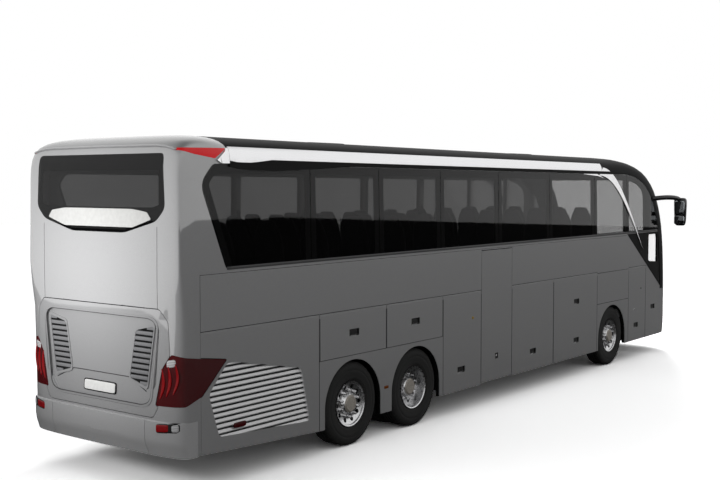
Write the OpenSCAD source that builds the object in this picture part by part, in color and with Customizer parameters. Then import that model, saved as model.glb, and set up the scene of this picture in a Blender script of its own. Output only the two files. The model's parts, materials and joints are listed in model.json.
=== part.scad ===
// Three-axle high-deck touring coach with right-hand drive: panels, lids, glazing and running gear.
// Frame: +X forward, +Y to the coach's left, +Z up, origin on the road under the middle of the body.
/* [Body] */
// Length of the body from tail to nose
body_length = 13325; // [13200:5:13500]
// Width of the body at the belt
body_width = 2550; // [2500:5:2600]
// Height of the roof crown over the road
roof_height = 3770; // [3720:5:3850]
// Height of the sill over the road
sill_height = 300; // [280:5:320]
// Height of the sill at the tail corner
tail_sill_height = 400; // [380:5:430]
// Height of the belt line at the top of the flaps
belt_height = 1680; // [1650:5:1720]
// Height of the line over the wheel arches
arch_line_height = 1135; // [1120:5:1160]
// Height of the bottom of the windows
waist_height = 2320; // [2280:5:2360]
// Rise of the roof crown over the top of the windows
roof_rise = 320; // [300:5:340]
// Lean inward of the window band over its height
window_lean = 25; // [0:1:40]
// Thickness of walls, doors and flaps
wall = 60; // [55:1:65]
// Thickness of the glass
glass = 10; // [8:1:12]
// Gap round the flaps
lid_gap = 7; // [6:0.5:8]

/* [Tail] */
// Reach of the tail corner round on to the side
tail_depth = 300; // [260:5:330]
// Squareness of the tail corner at the bumper, seen from above
tail_power = 4.5; // [3:0.1:6]
// Squareness of the tail corner beside the rear window
tail_top_power = 15; // [8:0.5:16]
// Distance of the tail face in from the bumper
bumper_proud = 35; // [25:1:45]
// Height of the top of the tail bumper
bumper_top = 770; // [750:5:785]
// Height of the bottom of the tail bumper
bumper_bottom = 390; // [370:5:420]
// Drop from the top of the windows to where the tail turns into the roof
tail_turn_drop = 150; // [130:5:200]
// Distance of the tail face from the tail at that height
tail_lean = 60; // [50:1:90]
// Length of the roof cap behind the roof joint
roof_cap = 800; // [760:5:850]
// Squareness of the roof shoulder
crown_power = 3.4; // [3:0.1:4]
// Fall of the roof from the tail to the domed front
roof_fall = 60; // [0:1:70]

/* [Nose] */
// Squareness of the nose seen from above
nose_power = 2.5; // [2.2:0.1:3]
// Reach of the nose round on to the side
nose_depth = 800; // [780:5:820]
// Length of the domed roof front
dome_length = 2700; // [2600:10:2800]
// Height of the foot of the windscreen
screen_base = 1200; // [1180:5:1230]
// Height of the top of the front bumper
front_bumper_top = 620; // [600:5:640]
// Height of the bottom of the front bumper
front_bumper_bottom = 330; // [320:5:350]
// Half width of the windscreen
screen_half_width = 1130; // [1100:5:1150]

/* [Flaps and doors] */
// Joint between the tail corner and the engine flap
corner_joint = 345; // [340:1:360]
// Joint between the engine flap and the rear arch panel
rear_arch_joint = 2270; // [2250:5:2290]
// Joint over and between the rear wheels
mid_arch_joint = 3600; // [3580:5:3620]
// Distance from the drive axle to the start of the luggage bay
bay_ahead = 640; // [620:5:660]
// Distance from the end of the luggage bay to the front axle
bay_behind = 605; // [600:5:620]
// Distance from the front axle to the cab flap
cab_ahead = 690; // [680:5:700]
// Distance from the front end of the cab flap to the nose
nose_panel = 1475; // [1460:5:1490]
// Place of the side door's rear edge, as a share of the bay
side_door_share = 0.208; // [0.2:0.001:0.22]
// Width of the side door
side_door_width = 880; // [860:5:900]
// Joint of the two right bay flaps ahead of the side door, as a share of their length
bay_right_share = 0.455; // [0.44:0.005:0.47]
// Joints of the left bay flaps, as shares of the bay
bay_left_shares = [0.3, 0.667]; // [0:0.001:1]
// Gap round the doors
door_gap = 10; // [9:0.5:12]
// Distance from the cab flap's line to the entry door
entry_ahead = 40; // [35:1:45]
// Width of the entry door
entry_width = 900; // [880:5:920]
// Height of the bottom of the doors
door_foot = 330; // [320:5:350]
// Length of the door arms
door_arm_reach = 600; // [560:5:620]
// Radius of the hook hinge along the top of each flap
hinge_radius = 5; // [4:0.5:6]
// Distance of the hinge line in from the side
hinge_inset = 8; // [7:0.5:9]
// Drop from the hinge line to the top of the flap
hinge_drop = 14; // [13:0.5:16]
// Clearance of pins in their bores
running_fit = 0.05; // [0.03:0.01:0.08]
// Seam between fixed pieces
seam = 0.3; // [0.2:0.05:0.5]

/* [Wheels] */
// Radius of the tyres
tyre_radius = 520; // [510:1:530]
// Width of the tyres
tyre_width = 295; // [285:1:300]
// Radius of the rim flange
rim_radius = 298; // [290:1:300]
// Distance of the tyres' outer faces from the middle
tyre_outer = 1245; // [1240:1:1250]
// Place of the trailing axle from the tail
tag_axle_place = 2920; // [2910:1:2930]
// Distance from the trailing axle to the drive axle
tag_spacing = 1350; // [1340:1:1360]
// Distance from the front axle to the nose
front_overhang = 2955; // [2940:5:2970]
// Pitch of the twin tyres
twin_pitch = 335; // [330:1:345]
// Radius of the wheel arches
arch_radius = 556; // [552:1:560]
// Distance of the kingpins from the middle
kingpin_place = 830; // [825:1:835]
// Number of hand holes and of wheel nuts
wheel_holes = 10; // [8:1:10]

/* [Windows and lamps] */
// Joints between the side panes, as shares of the length
pane_joint_shares = [0.1598, 0.2597, 0.3648, 0.4812, 0.601, 0.7239, 0.8232]; // [0:0.0001:1]
// Width of the pillars behind the panes
pillar_width = 90; // [70:1:110]
// Gap between panes
pane_gap = 8; // [6:1:12]
// Half width of the rear window at its top
rear_window_half = 1040; // [1000:5:1060]
// Drop from the roof crown to the top of the rear window
rear_window_drop = 220; // [210:5:240]
// Height of the rear window
rear_window_height = 850; // [830:5:870]
// Half width of the engine hatch
hatch_half = 1120; // [1110:5:1130]
// Height of the top of the engine hatch
hatch_top = 1945; // [1930:5:1955]
// Height of the bottom of the engine hatch
hatch_bottom = 795; // [790:1:800]
// Height of the tip of the tail lamps
lamp_top = 1480; // [1460:5:1490]
// Height of the bottom of the tail lamps
lamp_bottom = 930; // [915:5:940]
// Reach of the tail lamps along the side
lamp_reach = 726; // [700:1:750]

/* [Inside] */
// Height of the saloon floor
deck_height = 1600; // [1580:5:1620]
// Height of the cab floor
cab_height = 960; // [940:5:980]
// Thickness of floors and bulkheads
floor_thick = 40; // [30:1:50]
// Pitch of the seat rows
seat_pitch = 810; // [790:5:820]
// Place of the last seat row's cushion from the tail
first_row = 1150; // [1100:5:1200]
// Room between the front seat row and the front end of the floor
front_room = 300; // [250:5:350]
// Room over the engine, under the saloon floor
engine_room = 180; // [160:5:200]
// Height of the seat backs over the floor
seat_height = 1220; // [1150:5:1250]
// Width of a double seat
seat_width = 900; // [860:5:920]

/* [Hidden] */
$fn = 48;
half = body_width / 2;
cornice_height = roof_height - roof_rise;
tail_turn = cornice_height - tail_turn_drop;
rear_window_top = roof_height - rear_window_drop;
rear_window_bottom = rear_window_top - rear_window_height;
side_in = half - wall;
drive_place = tag_axle_place + tag_spacing;
front_place = body_length - front_overhang;
bay_start = drive_place + bay_ahead;
bay_end = front_place - bay_behind;
cab_joint = front_place + cab_ahead;
nose_joint = body_length - nose_panel;
entry_start = cab_joint + entry_ahead;
seat_rows = floor((cab_joint - front_room - first_row) / seat_pitch) + 1;
axle_places = [tag_axle_place, drive_place, front_place];
nose_edge = body_length - nose_depth;
paint = [0.42, 0.42, 0.43];
dark = [0.12, 0.12, 0.13];
tint = [0.08, 0.09, 0.1, 0.8];
chrome = [0.85, 0.85, 0.86];
alloy = [0.75, 0.75, 0.76];
red = [0.45, 0.03, 0.03];
iron = [0.25, 0.25, 0.26];

// Place along X of a distance forward from the tail
function at(d) = d - body_length / 2;
// Place along the luggage bay of a share of its length
function in_bay(s) = bay_start + s * (bay_end - bay_start);
// Half width of the body at a height
function half_at(z) = half - window_lean * max(0, z - waist_height) / (cornice_height - waist_height);
function mix(a, b, s) = a + s * (b - a);
// Point of a cubic curve with four control points
function bezier(p, t) = pow(1 - t, 3) * p[0] + 3 * t * pow(1 - t, 2) * p[1] + 3 * t * t * (1 - t) * p[2]
                + pow(t, 3) * p[3];
// Rounded outline corner as a short arc between two sides, by three points and the corner's reach
function corner(a, b, c, reach, steps = 5) =
    let (p = b + reach * (a - b) / norm(a - b), q = b + reach * (c - b) / norm(c - b))
    [for (i = [0 : steps]) let (t = i / steps) (1 - t) * (1 - t) * p + 2 * t * (1 - t) * b + t * t * q];
// Outline with every corner rounded by the same reach
function rounded(pts, reach) =
    let (n = len(pts))
    [for (i = [0 : n - 1]) each corner(pts[(i + n - 1) % n], pts[i], pts[(i + 1) % n], reach)];
// Outline moved outward by a margin, square to each of its sides
function turn_of(pts) =
    let (n = len(pts))
    sign([for (i = [0 : n - 1]) cross(pts[i], pts[(i + 1) % n])] * [for (i = [0 : n - 1]) 1]);
function grown(pts, m) =
    let (n = len(pts), s = turn_of(pts))
    [for (i = [0 : n - 1]) let (a = pts[(i + n - 1) % n], b = pts[i], c = pts[(i + 1) % n],
        u = (b - a) / norm(b - a), v = (c - b) / norm(c - b), p = s * [u[1], -u[0]], q = s * [v[1], -v[0]])
        b + m * (p + q) / (1 + p * q)];
// Rectangle of a size round a place
box_corners = [[-1, -1], [1, -1], [1, 1], [-1, 1]];
function box_at(place, size) =
    [for (s = box_corners) [place[0] + s[0] * size[0] / 2, place[1] + s[1] * size[1] / 2]];
function turned(pts, side) = [for (p = pts) [side * p[0], p[1]]];
function mirrored(pts) = concat(pts, [for (i = [len(pts) - 1 : -1 : 0]) [-pts[i][0], pts[i][1]]]);

// The ends of the body are skins stretched between a middle line and an edge line on the side.
// Rows of a skin: [middle in, middle height, edge in, edge height, squareness]
// Rows of the tail's face: share of its height, share of the change in squareness
tail_face_shares = [[0, 0], [0.18, 0.03], [0.42, 0.1], [0.52, 0.4], [0.62, 0.9], [0.75, 1], [1, 1]];
tail_face_last = len(tail_face_shares) - 1;
tail_rows_count = 9;
tail_crest_shares = [0.85, 0.16];
tail_shoulder_shares = [0.7, 0.55];
tail_middle = [[tail_lean, tail_turn], [tail_lean, mix(tail_turn, roof_height, tail_crest_shares[0])],
               [roof_cap * tail_crest_shares[1], roof_height - bumper_proud / 2], [roof_cap, roof_height]];
tail_edge = [[tail_depth, tail_turn], [tail_depth, mix(tail_turn, cornice_height, tail_shoulder_shares[0])],
             [roof_cap * tail_shoulder_shares[1], cornice_height], [roof_cap, cornice_height]];
tail_rows = concat(
    [for (s = tail_face_shares)
        [mix(bumper_proud, tail_lean, s[0]), mix(bumper_top + seam, tail_turn, s[0]), tail_depth,
         mix(bumper_top + seam, tail_turn, s[0]), mix(tail_power, tail_top_power, s[1])]],
    [for (i = [1 : tail_rows_count]) let (t = i / tail_rows_count)
        concat(bezier(tail_middle, t), bezier(tail_edge, t), [mix(tail_top_power, crown_power, t)])]);
bumper_shares = [[1, 0], [0.25, 0.3], [0, 0.5], [0, 1]];
bumper_rows = [for (s = bumper_shares) let (z = mix(bumper_bottom, bumper_top, s[1]))
    [s[0] * bumper_proud * 2, z, tail_depth, z, tail_power]];
nose_rows_count = 16;
screen_rows = 10;
screen_rise_shares = [0.6, 0.67];
screen_reach_shares = [[0.13, 0.41], [1.05, 1.44]];
nose_middle = [[bumper_proud, screen_base],
               [nose_depth * screen_reach_shares[0][0], mix(screen_base, roof_height, screen_rise_shares[0])],
               [nose_depth * screen_reach_shares[0][1], roof_height - bumper_proud],
               [dome_length, roof_height - roof_fall]];
nose_edge_line = [[nose_depth, screen_base],
                [nose_depth * screen_reach_shares[1][0],
                mix(screen_base, cornice_height, screen_rise_shares[1])],
                [nose_depth * screen_reach_shares[1][1], cornice_height],
                [dome_length, cornice_height - roof_fall]];
nose_rows = [for (i = [0 : nose_rows_count]) let (t = i / nose_rows_count)
    concat(bezier(nose_middle, t), bezier(nose_edge_line, t), [mix(nose_power, crown_power, t * t)])];
chin_shares = [[1, 0], [0.25, 0.5], [0, 1]];
chin_rows = [for (s = chin_shares) let (z = mix(front_bumper_bottom, front_bumper_top, s[1]))
    [s[0] * bumper_proud * 3, z, nose_depth, z, nose_power]];
mask_shares = [[0, 0], [0, 0.45], [0.35, 0.78], [1, 1]];
mask_rows = [for (s = mask_shares) let (z = mix(front_bumper_top, screen_base - seam, s[1]))
    [s[0] * bumper_proud, z, nose_depth, z, nose_power]];

skin_columns = 20;
// Inward normal of the middle line at a row
function row_normal(rows, i) =
    let (a = rows[max(0, i - 1)], b = rows[min(len(rows) - 1, i + 1)], t = [b[0] - a[0], b[1] - a[1]])
    i == 0 || i == len(rows) - 1
    ? (abs(t[1]) > abs(t[0]) ? [sign(t[1]), 0] : [0, -sign(t[0])])
    : [t[1], -t[0]] / norm(t);
// One point of a skin, at an angle across it and an inset from the outer face
function skin_point(rows, i, angle, inset) =
    let (r = rows[i], m = [r[0], r[1]] + inset * row_normal(rows, i), e = [r[2], r[3]],
         across = pow(abs(sin(angle)), 2 / r[4]), drop = 1 - pow(max(0, cos(angle)), 2 / r[4]),
         p = m + drop * (e - m))
    [p[0], sign(angle) * across * (half_at(r[3]) - inset), p[1]];
// Points of a skin; a return carries its edges straight on along the sides
function skin_points(rows, first, last, inset, return) =
    [for (i = [first : last]) each let (
        row = [for (j = [0 : skin_columns]) skin_point(rows, i, -90 + 180 * j / skin_columns, inset)])
        return == 0 ? row : concat([row[0] + [return, 0, 0]], row, [row[skin_columns] + [return, 0, 0]])];
// Closed skin between two insets, drawn with X counted in from its own end of the body
module skin(rows, first, last, outer, inner, return = 0) {
    w = skin_columns + (return == 0 ? 1 : 3);
    h = last - first;
    n = w * (h + 1);
    quads = concat(
        [for (i = [0 : h - 1]) for (j = [0 : w - 2])
            [i * w + j, (i + 1) * w + j, (i + 1) * w + j + 1, i * w + j + 1]],
        [for (i = [0 : h - 1]) for (j = [0 : w - 2])
            [n + i * w + j, n + i * w + j + 1, n + (i + 1) * w + j + 1, n + (i + 1) * w + j]],
        [for (j = [0 : w - 2]) each [[j, j + 1, n + j + 1, n + j],
            [h * w + j + 1, h * w + j, n + h * w + j, n + h * w + j + 1]]],
        [for (i = [0 : h - 1]) each [[(i + 1) * w, i * w, n + i * w, n + (i + 1) * w],
            [i * w + w - 1, (i + 1) * w + w - 1, n + (i + 1) * w + w - 1, n + i * w + w - 1]]]);
    polyhedron(concat(skin_points(rows, first, last, outer, return),
                skin_points(rows, first, last, inner, return)),
               [for (q = quads) each [[q[0], q[2], q[1]], [q[0], q[3], q[2]]]]);
}
module tail_skin(rows, first, last, outer, inner, return = 0)
    translate([at(0), 0, 0]) skin(rows, first, last, outer, inner, return);
module nose_skin(rows, first, last, outer, inner)
    translate([at(body_length), 0, 0]) mirror([1, 0, 0]) skin(rows, first, last, outer, inner);

// Prism through an end of the body, of an outline given in [across, height]
module end_prism(pts, from, to)
    translate([at(from), 0, 0]) rotate([90, 0, 90]) linear_extrude(to - from) polygon(pts);
// Plate on the right side, of an outline given in [distance from the tail, height], between two depths
module side_plate(pts, outer, inner)
    translate([at(0), -half + inner, 0]) rotate([90, 0, 0]) linear_extrude(inner - outer) polygon(pts);
// The same on the leaning window band
band_angle = atan(window_lean / (cornice_height - waist_height));
module band_plate(pts, outer, inner)
    translate([at(0), -half, waist_height]) rotate([-band_angle, 0, 0])
        translate([0, inner, -waist_height]) rotate([90, 0, 0]) linear_extrude(inner - outer) polygon(pts);
module to_side(side) mirror([0, side > 0 ? 1 : 0, 0]) children();

// Outline of the whole side, between the edge lines of the two end skins
side_outline = concat(
    [[tail_depth + seam, tail_sill_height], [tail_depth + seam, tail_turn]],
    [for (i = [1 : tail_rows_count]) bezier(tail_edge, i / tail_rows_count) + [seam, -seam]],
    [for (i = [nose_rows_count : -1 : 0])
        let (p = bezier(nose_edge_line, i / nose_rows_count)) [body_length - p[0] - seam, p[1] - seam]],
    [[nose_edge - seam, front_bumper_bottom], [rear_arch_joint, sill_height]]);
far = body_length;
above_waist = [[0, waist_height], [far, waist_height], [far, roof_height], [0, roof_height]];

side_door_start = in_bay(side_door_share);
side_door_end = side_door_start + side_door_width;
bay_right_joint = mix(side_door_end, bay_end, bay_right_share);
grip_high = 1410;
grip_middle = 1259;
grip_low = 608;
// Flaps: name, first edge, last edge, bottom, share of the length where the grips are, heights of the grips
FLAP_NAME = 0;
FLAP_START = 1;
FLAP_END = 2;
FLAP_FOOT = 3;
FLAP_GRIP_SHARE = 4;
FLAP_GRIPS = 5;
flaps_right = [
    ["engine_flap_right", corner_joint, rear_arch_joint, sill_height, 0.5, []],
    ["tag_flap_right", rear_arch_joint, mid_arch_joint, arch_line_height, 0.5, [grip_high]],
    ["drive_flap_right", mid_arch_joint, bay_start, arch_line_height, 0.5, [grip_high]],
    ["bay_flap_1_right", bay_start, side_door_start, sill_height, 0.47, [grip_low]],
    ["bay_flap_2_right", side_door_end, bay_right_joint, sill_height, 0.5, [grip_low]],
    ["bay_flap_3_right", bay_right_joint, bay_end, sill_height, 0.51, [grip_low, grip_middle]],
    ["cab_flap_right", cab_joint, nose_joint, sill_height, 0.45, [grip_low]]];
flaps_left = [
    ["engine_flap_left", corner_joint, rear_arch_joint, sill_height, 0.5, []],
    ["tag_flap_left", rear_arch_joint, mid_arch_joint, arch_line_height, 0.5, [grip_high]],
    ["drive_flap_left", mid_arch_joint, bay_start, arch_line_height, 0.5, [grip_high]],
    ["bay_flap_1_left", bay_start, in_bay(bay_left_shares[0]), sill_height, 0.5, [grip_low]],
    ["bay_flap_2_left", in_bay(bay_left_shares[0]), in_bay(bay_left_shares[1]),
     sill_height, 0.5, [grip_low]],
    ["bay_flap_3_left", in_bay(bay_left_shares[1]), bay_end, sill_height, 0.51, [grip_low, grip_middle]]];
door_top = waist_height - wall;
hinge_line = belt_height + hinge_radius;
// Web of a hook hinge and its slot, as shares of the hinge radius
web_shares = [0.6, 0.7];
slot_share = 2.2;

// Lower edge of the side at a distance from the tail
function sill_at(d) =
    d < rear_arch_joint
    ? mix(tail_sill_height, sill_height, (d - tail_depth) / (rear_arch_joint - tail_depth))
    : mix(sill_height, front_bumper_bottom, (d - rear_arch_joint) / (nose_edge - rear_arch_joint));
function foot_of(flap, d) = flap[FLAP_FOOT] > sill_height ? flap[FLAP_FOOT] : sill_at(d);
// Flap outline, grown by a margin, up to the height given
function flap_outline(flap, margin, top) = [
    [flap[FLAP_START] + lid_gap / 2 - margin, foot_of(flap, flap[FLAP_START]) - margin],
    [flap[FLAP_END] - lid_gap / 2 + margin, foot_of(flap, flap[FLAP_END]) - margin],
    [flap[FLAP_END] - lid_gap / 2 + margin, top], [flap[FLAP_START] + lid_gap / 2 - margin, top]];
// Opening of a flap in the wall, with the socket of its hook hinge
module flap_opening(flap) {
    side_plate(concat([for (i = [0, 1]) flap_outline(flap, lid_gap / 2, belt_height)[i]
                - [0, flap[FLAP_FOOT] > sill_height ? lid_gap / 2 : sill_height]],
                [for (i = [2, 3]) flap_outline(flap, lid_gap / 2, hinge_line - hinge_radius)[i]]),
               -wall, wall * 2);
    x0 = flap[FLAP_START] + lid_gap / 2;
    span = flap[FLAP_END] - flap[FLAP_START] - lid_gap;
    translate([at(x0 - lid_gap / 2), -half + hinge_inset, hinge_line]) rotate([0, 90, 0])
        cylinder(r = hinge_radius + seam, h = span + lid_gap);
    translate([at(x0 - lid_gap / 2), -half - wall, hinge_line - hinge_radius - seam])
        cube([span + lid_gap, wall + hinge_inset, hinge_radius * slot_share]);
}
module flap_blank(flap) {
    x0 = flap[FLAP_START] + lid_gap / 2;
    span = flap[FLAP_END] - flap[FLAP_START] - lid_gap;
    side_plate(flap_outline(flap, 0, hinge_line - hinge_drop), 0, wall);
    translate([at(x0), -half + hinge_inset, hinge_line]) rotate([0, 90, 0])
        cylinder(r = hinge_radius, h = span);
    translate([at(x0), -half + hinge_inset - hinge_radius * web_shares[0], hinge_line - hinge_drop - seam])
        cube([span, hinge_radius * web_shares[1], hinge_drop]);
}
grip_length = 200;
grip_height = 90;
grip_depth = 25;
grip_corner = 12;
// Recessed grip at a distance from the tail and a height
module grip(d, z)
    side_plate(rounded(box_at([d, z], [grip_length, grip_height]), grip_corner), -seam, grip_depth);
nose_grip_ahead = 344;
nose_grip_height = 884;
module plain_flap(flap, side)
    color(paint) to_side(side) difference() {
        flap_blank(flap);
        for (z = flap[FLAP_GRIPS]) grip(mix(flap[FLAP_START], flap[FLAP_END], flap[FLAP_GRIP_SHARE]), z);
    }

// Louvred grille in the engine flap: outline in [distance from the tail, height]
grille_corner = 60;
grille_margin = [25, 330, 180, 265, 115];
grille_drop = [139, 28, 145, 110];
grille_outline = rounded([[lamp_reach + grille_margin[0], lamp_top - grille_drop[0]],
                [rear_arch_joint - grille_margin[1], arch_line_height - grille_drop[1]],
                [rear_arch_joint - grille_margin[2], tail_sill_height + wall],
                [corner_joint + grille_margin[3], tail_sill_height + grille_drop[2]],
                [corner_joint + grille_margin[4], arch_line_height - grille_drop[3]]],
                grille_corner);
slat_pitch = 60;
slat_sheet = 9;
slat_rise_share = 0.72;
slat_front = 3;
slat_depth = 34;
// Section of one louvre in [depth, height]: a sheet that climbs as it goes in
slat_section = [[slat_front, 0], [slat_depth, slat_pitch * slat_rise_share],
                [slat_depth, slat_pitch * slat_rise_share + slat_sheet], [slat_front, slat_sheet]];
module side_slat(z)
    translate([at(0), -half, z]) rotate([90, 0, 90]) linear_extrude(rear_arch_joint) polygon(slat_section);
module engine_flap(flap, side)
    color(paint) to_side(side) difference() {
        flap_blank(flap);
        difference() {
            side_plate(grille_outline, -seam, slat_depth);
            for (z = [tail_sill_height : slat_pitch : lamp_top]) side_slat(z);
        }
        tail_lamp_prism(lid_gap);
    }

// Tail lamp: outline seen along the diagonal of the corner, in [across, height]
lamp_shares = [[-0.304, 0], [-0.2, 0.71], [-0.07, 1], [sqrt(0.5), 0.79], [0.35, 0.16], [0.13, 0.013]];
lamp_corner = 20;
lamp_outline = rounded([for (s = lamp_shares) [lamp_reach * s[0], mix(lamp_bottom, lamp_top, s[1])]],
                lamp_corner);
lamp_stand = 450;
module tail_lamp_prism(margin)
    translate([at(lamp_stand), -half + lamp_stand, 0]) rotate([90, 0, -45])
        linear_extrude(lamp_stand * 2) polygon(grown(lamp_outline, margin));
// Roof-edge lamp: outline in [distance from the tail, height]
crest_reach_shares = [0, 0.975, 0.75, 0.375];
crest_drops = [170, 158, 270, 230];
crest_outline = [for (i = [0 : len(crest_drops) - 1])
    [roof_cap * crest_reach_shares[i], roof_height - crest_drops[i]]];
// Prism over the right shoulder of the roof, from a share of the half width outward
shoulder_share = 0.72;
module shoulder_prism(pts)
    translate([at(0), -half * shoulder_share, 0]) rotate([90, 0, 0]) linear_extrude(half) polygon(pts);
module crest_prism(margin) shoulder_prism(grown(crest_outline, margin));
module rear_lamps()
    color(red) for (side = [-1, 1]) to_side(side) {
        intersection() {
            tail_skin(tail_rows, 0, 2, 0, wall, lamp_reach);
            tail_lamp_prism(0);
        }
        intersection() {
            tail_skin(tail_rows, tail_face_last - 1, len(tail_rows) - 1, 0, wall);
            crest_prism(0);
        }
    }

// Engine hatch: outline of its right half as shares of its half width and height
hatch_shares = [[0.78, 0], [0.845, 0.1], [0.93, 0.46], [0.995, 0.58], [0.975, 0.89], [0.87, 1]];
hatch_outline = mirrored(hatch_points(hatch_shares));
hatch_recess_shares = [[0.62, 0.08], [0.82, 0.3], [0.865, 0.82], [0.8, 0.91]];
hatch_grille_shares = [[0.43, 0.36], [0.655, 0.28], [0.77, 0.84], [0.52, 0.79]];
hatch_corner = 40;
recess_rim = 28;
recess_depth = 34;
rim_depth = 16;
// Number plate's shelf, as shares of the hatch's height where it starts and ends
shelf_shares = [0.07, 0.3];
hatch_slat_pitch = 66;
hatch_hinge_places = [-500, 500];
hatch_hinge_length = 200;
lid_slot_share = 1.6;
hatch_hinge_line = hatch_top + hinge_radius;
function hatch_points(shares) = [for (s = shares) [hatch_half * s[0], mix(hatch_bottom, hatch_top, s[1])]];
recess_outline = mirrored(hatch_points(hatch_recess_shares));
shelf_foot = mix(hatch_bottom, hatch_top, shelf_shares[0]);
shelf_top = mix(hatch_bottom, hatch_top, shelf_shares[1]);
function tail_face_at(z) = mix(bumper_proud, tail_lean, (z - bumper_top) / (tail_turn - bumper_top));
hatch_hinge_in = tail_face_at(hatch_top) + hinge_inset;
// Recess of the hatch, drawn in from its rim by a margin: upright panel above, sloping shelf below
module hatch_recess(margin, depth, foot_depth)
    intersection() {
        end_prism(rounded(grown(recess_outline, -margin), hatch_corner), -wall, tail_depth);
        translate([at(0), half, 0]) rotate([90, 0, 0]) linear_extrude(body_width)
            polygon([[-wall, shelf_foot], [tail_face_at(shelf_foot) + foot_depth, shelf_foot],
                [tail_face_at(shelf_top) + depth, shelf_top],
                [tail_face_at(hatch_top) + depth, hatch_top], [-wall, hatch_top]]);
    }
module engine_hatch()
    color(paint) {
        difference() {
            intersection() {
                tail_skin(tail_rows, 0, 3, 0, wall);
                end_prism(rounded(grown(hatch_outline, -lid_gap), hatch_corner), -wall, tail_depth * 2);
                translate([at(-wall), -half, 0])
                cube([tail_depth * 2, body_width, hatch_hinge_line - hinge_drop]);
            }
            for (side = [-1, 1]) to_side(side) tail_lamp_prism(lid_gap);
            intersection() {
                tail_skin(tail_rows, 0, 3, -wall, rim_depth);
                end_prism(rounded(recess_outline, hatch_corner), -wall, tail_depth);
            }
            hatch_recess(recess_rim, recess_depth, rim_depth);
            for (side = [-1, 1]) difference() {
                end_prism(turned(rounded(hatch_points(hatch_grille_shares), hatch_corner), side),
                -wall, tail_depth);
                for (z = [hatch_bottom : hatch_slat_pitch : hatch_top])
                translate([at(tail_face_at(z) + recess_depth), half, z]) rotate([90, 0, 0])
                linear_extrude(body_width) polygon(slat_section);
            }
        }
        for (y = hatch_hinge_places) {
            translate([at(hatch_hinge_in), y - hatch_hinge_length / 2, hatch_hinge_line]) rotate([-90, 0, 0])
                cylinder(r = hinge_radius, h = hatch_hinge_length);
            translate([at(hatch_hinge_in) - hinge_radius * web_shares[1] / 2, y - hatch_hinge_length / 2,
                hatch_hinge_line - hinge_drop - hinge_radius])
                cube([hinge_radius * web_shares[1], hatch_hinge_length, hinge_drop + hinge_radius]);
        }
    }

// Rear window: outline of its right half as shares of its half width and height
rear_window_shares = [[0.42, 0.02], [0.9, 0.17], [1.03, 0.33], [1, 1]];
rear_window_outline = mirrored([for (s = rear_window_shares)
    [rear_window_half * s[0], mix(rear_window_bottom, rear_window_top, s[1])]]);
bond = 40;
window_corner = 60;
joint_width = 7;
joint_depth = 10;
boot_joint = 950;
boot_joint_reach = 150;
module boot_joints()
    for (side = [-1, 1]) intersection() {
        tail_skin(tail_rows, 0, len(tail_rows) - 1, -wall, joint_depth);
        translate([at(-wall), side * boot_joint - joint_width / 2, hatch_top - wall])
            cube([tail_depth, joint_width, rear_window_bottom + boot_joint_reach - hatch_top]);
    }
module rear_panel()
    color(paint) difference() {
        tail_skin(tail_rows, 0, len(tail_rows) - 1, 0, wall);
        end_prism(rounded(hatch_outline, hatch_corner), -wall, tail_depth * 2);
        intersection() {
            tail_skin(tail_rows, 2, len(tail_rows) - 1, -wall, glass + seam);
            end_prism(rounded(grown(rear_window_outline, seam), window_corner), -wall, roof_cap);
        }
        end_prism(rounded(grown(rear_window_outline, -bond), window_corner), -wall, roof_cap);
        boot_joints();
        for (side = [-1, 1]) to_side(side) {
            tail_lamp_prism(seam);
            crest_prism(seam);
        }
        for (y = hatch_hinge_places) {
            translate([at(hatch_hinge_in), y - hatch_hinge_length / 2 - lid_gap, hatch_hinge_line])
                rotate([-90, 0, 0]) cylinder(r = hinge_radius + seam, h = hatch_hinge_length + lid_gap * 2);
            translate([at(-wall), y - hatch_hinge_length / 2 - lid_gap, hatch_top - lid_gap])
                cube([wall + hatch_hinge_in, hatch_hinge_length + lid_gap * 2,
                hinge_radius * lid_slot_share + lid_gap]);
        }
    }
module rear_window()
    color(tint) intersection() {
        tail_skin(tail_rows, 2, len(tail_rows) - 1, 0, glass);
        end_prism(rounded(rear_window_outline, window_corner), -wall, roof_cap);
    }
tow_flap = [230, 145];
tow_flap_height = 503;
bumper_joint = 780;
module rear_bumper()
    color(paint) difference() {
        tail_skin(bumper_rows, 0, len(bumper_rows) - 1, 0, wall);
        difference() {
            end_prism(box_at([0, tow_flap_height], tow_flap), -wall, seam + lid_gap);
            end_prism(box_at([0, tow_flap_height], tow_flap - 2 * [joint_width, joint_width]),
                -wall, tail_depth);
        }
        for (side = [-1, 1]) intersection() {
            tail_skin(bumper_rows, 0, len(bumper_rows) - 1, -wall, joint_depth);
            translate([at(-wall), side * bumper_joint - joint_width / 2, 0])
                cube([tail_depth, joint_width, bumper_top * 2]);
        }
    }

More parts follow.
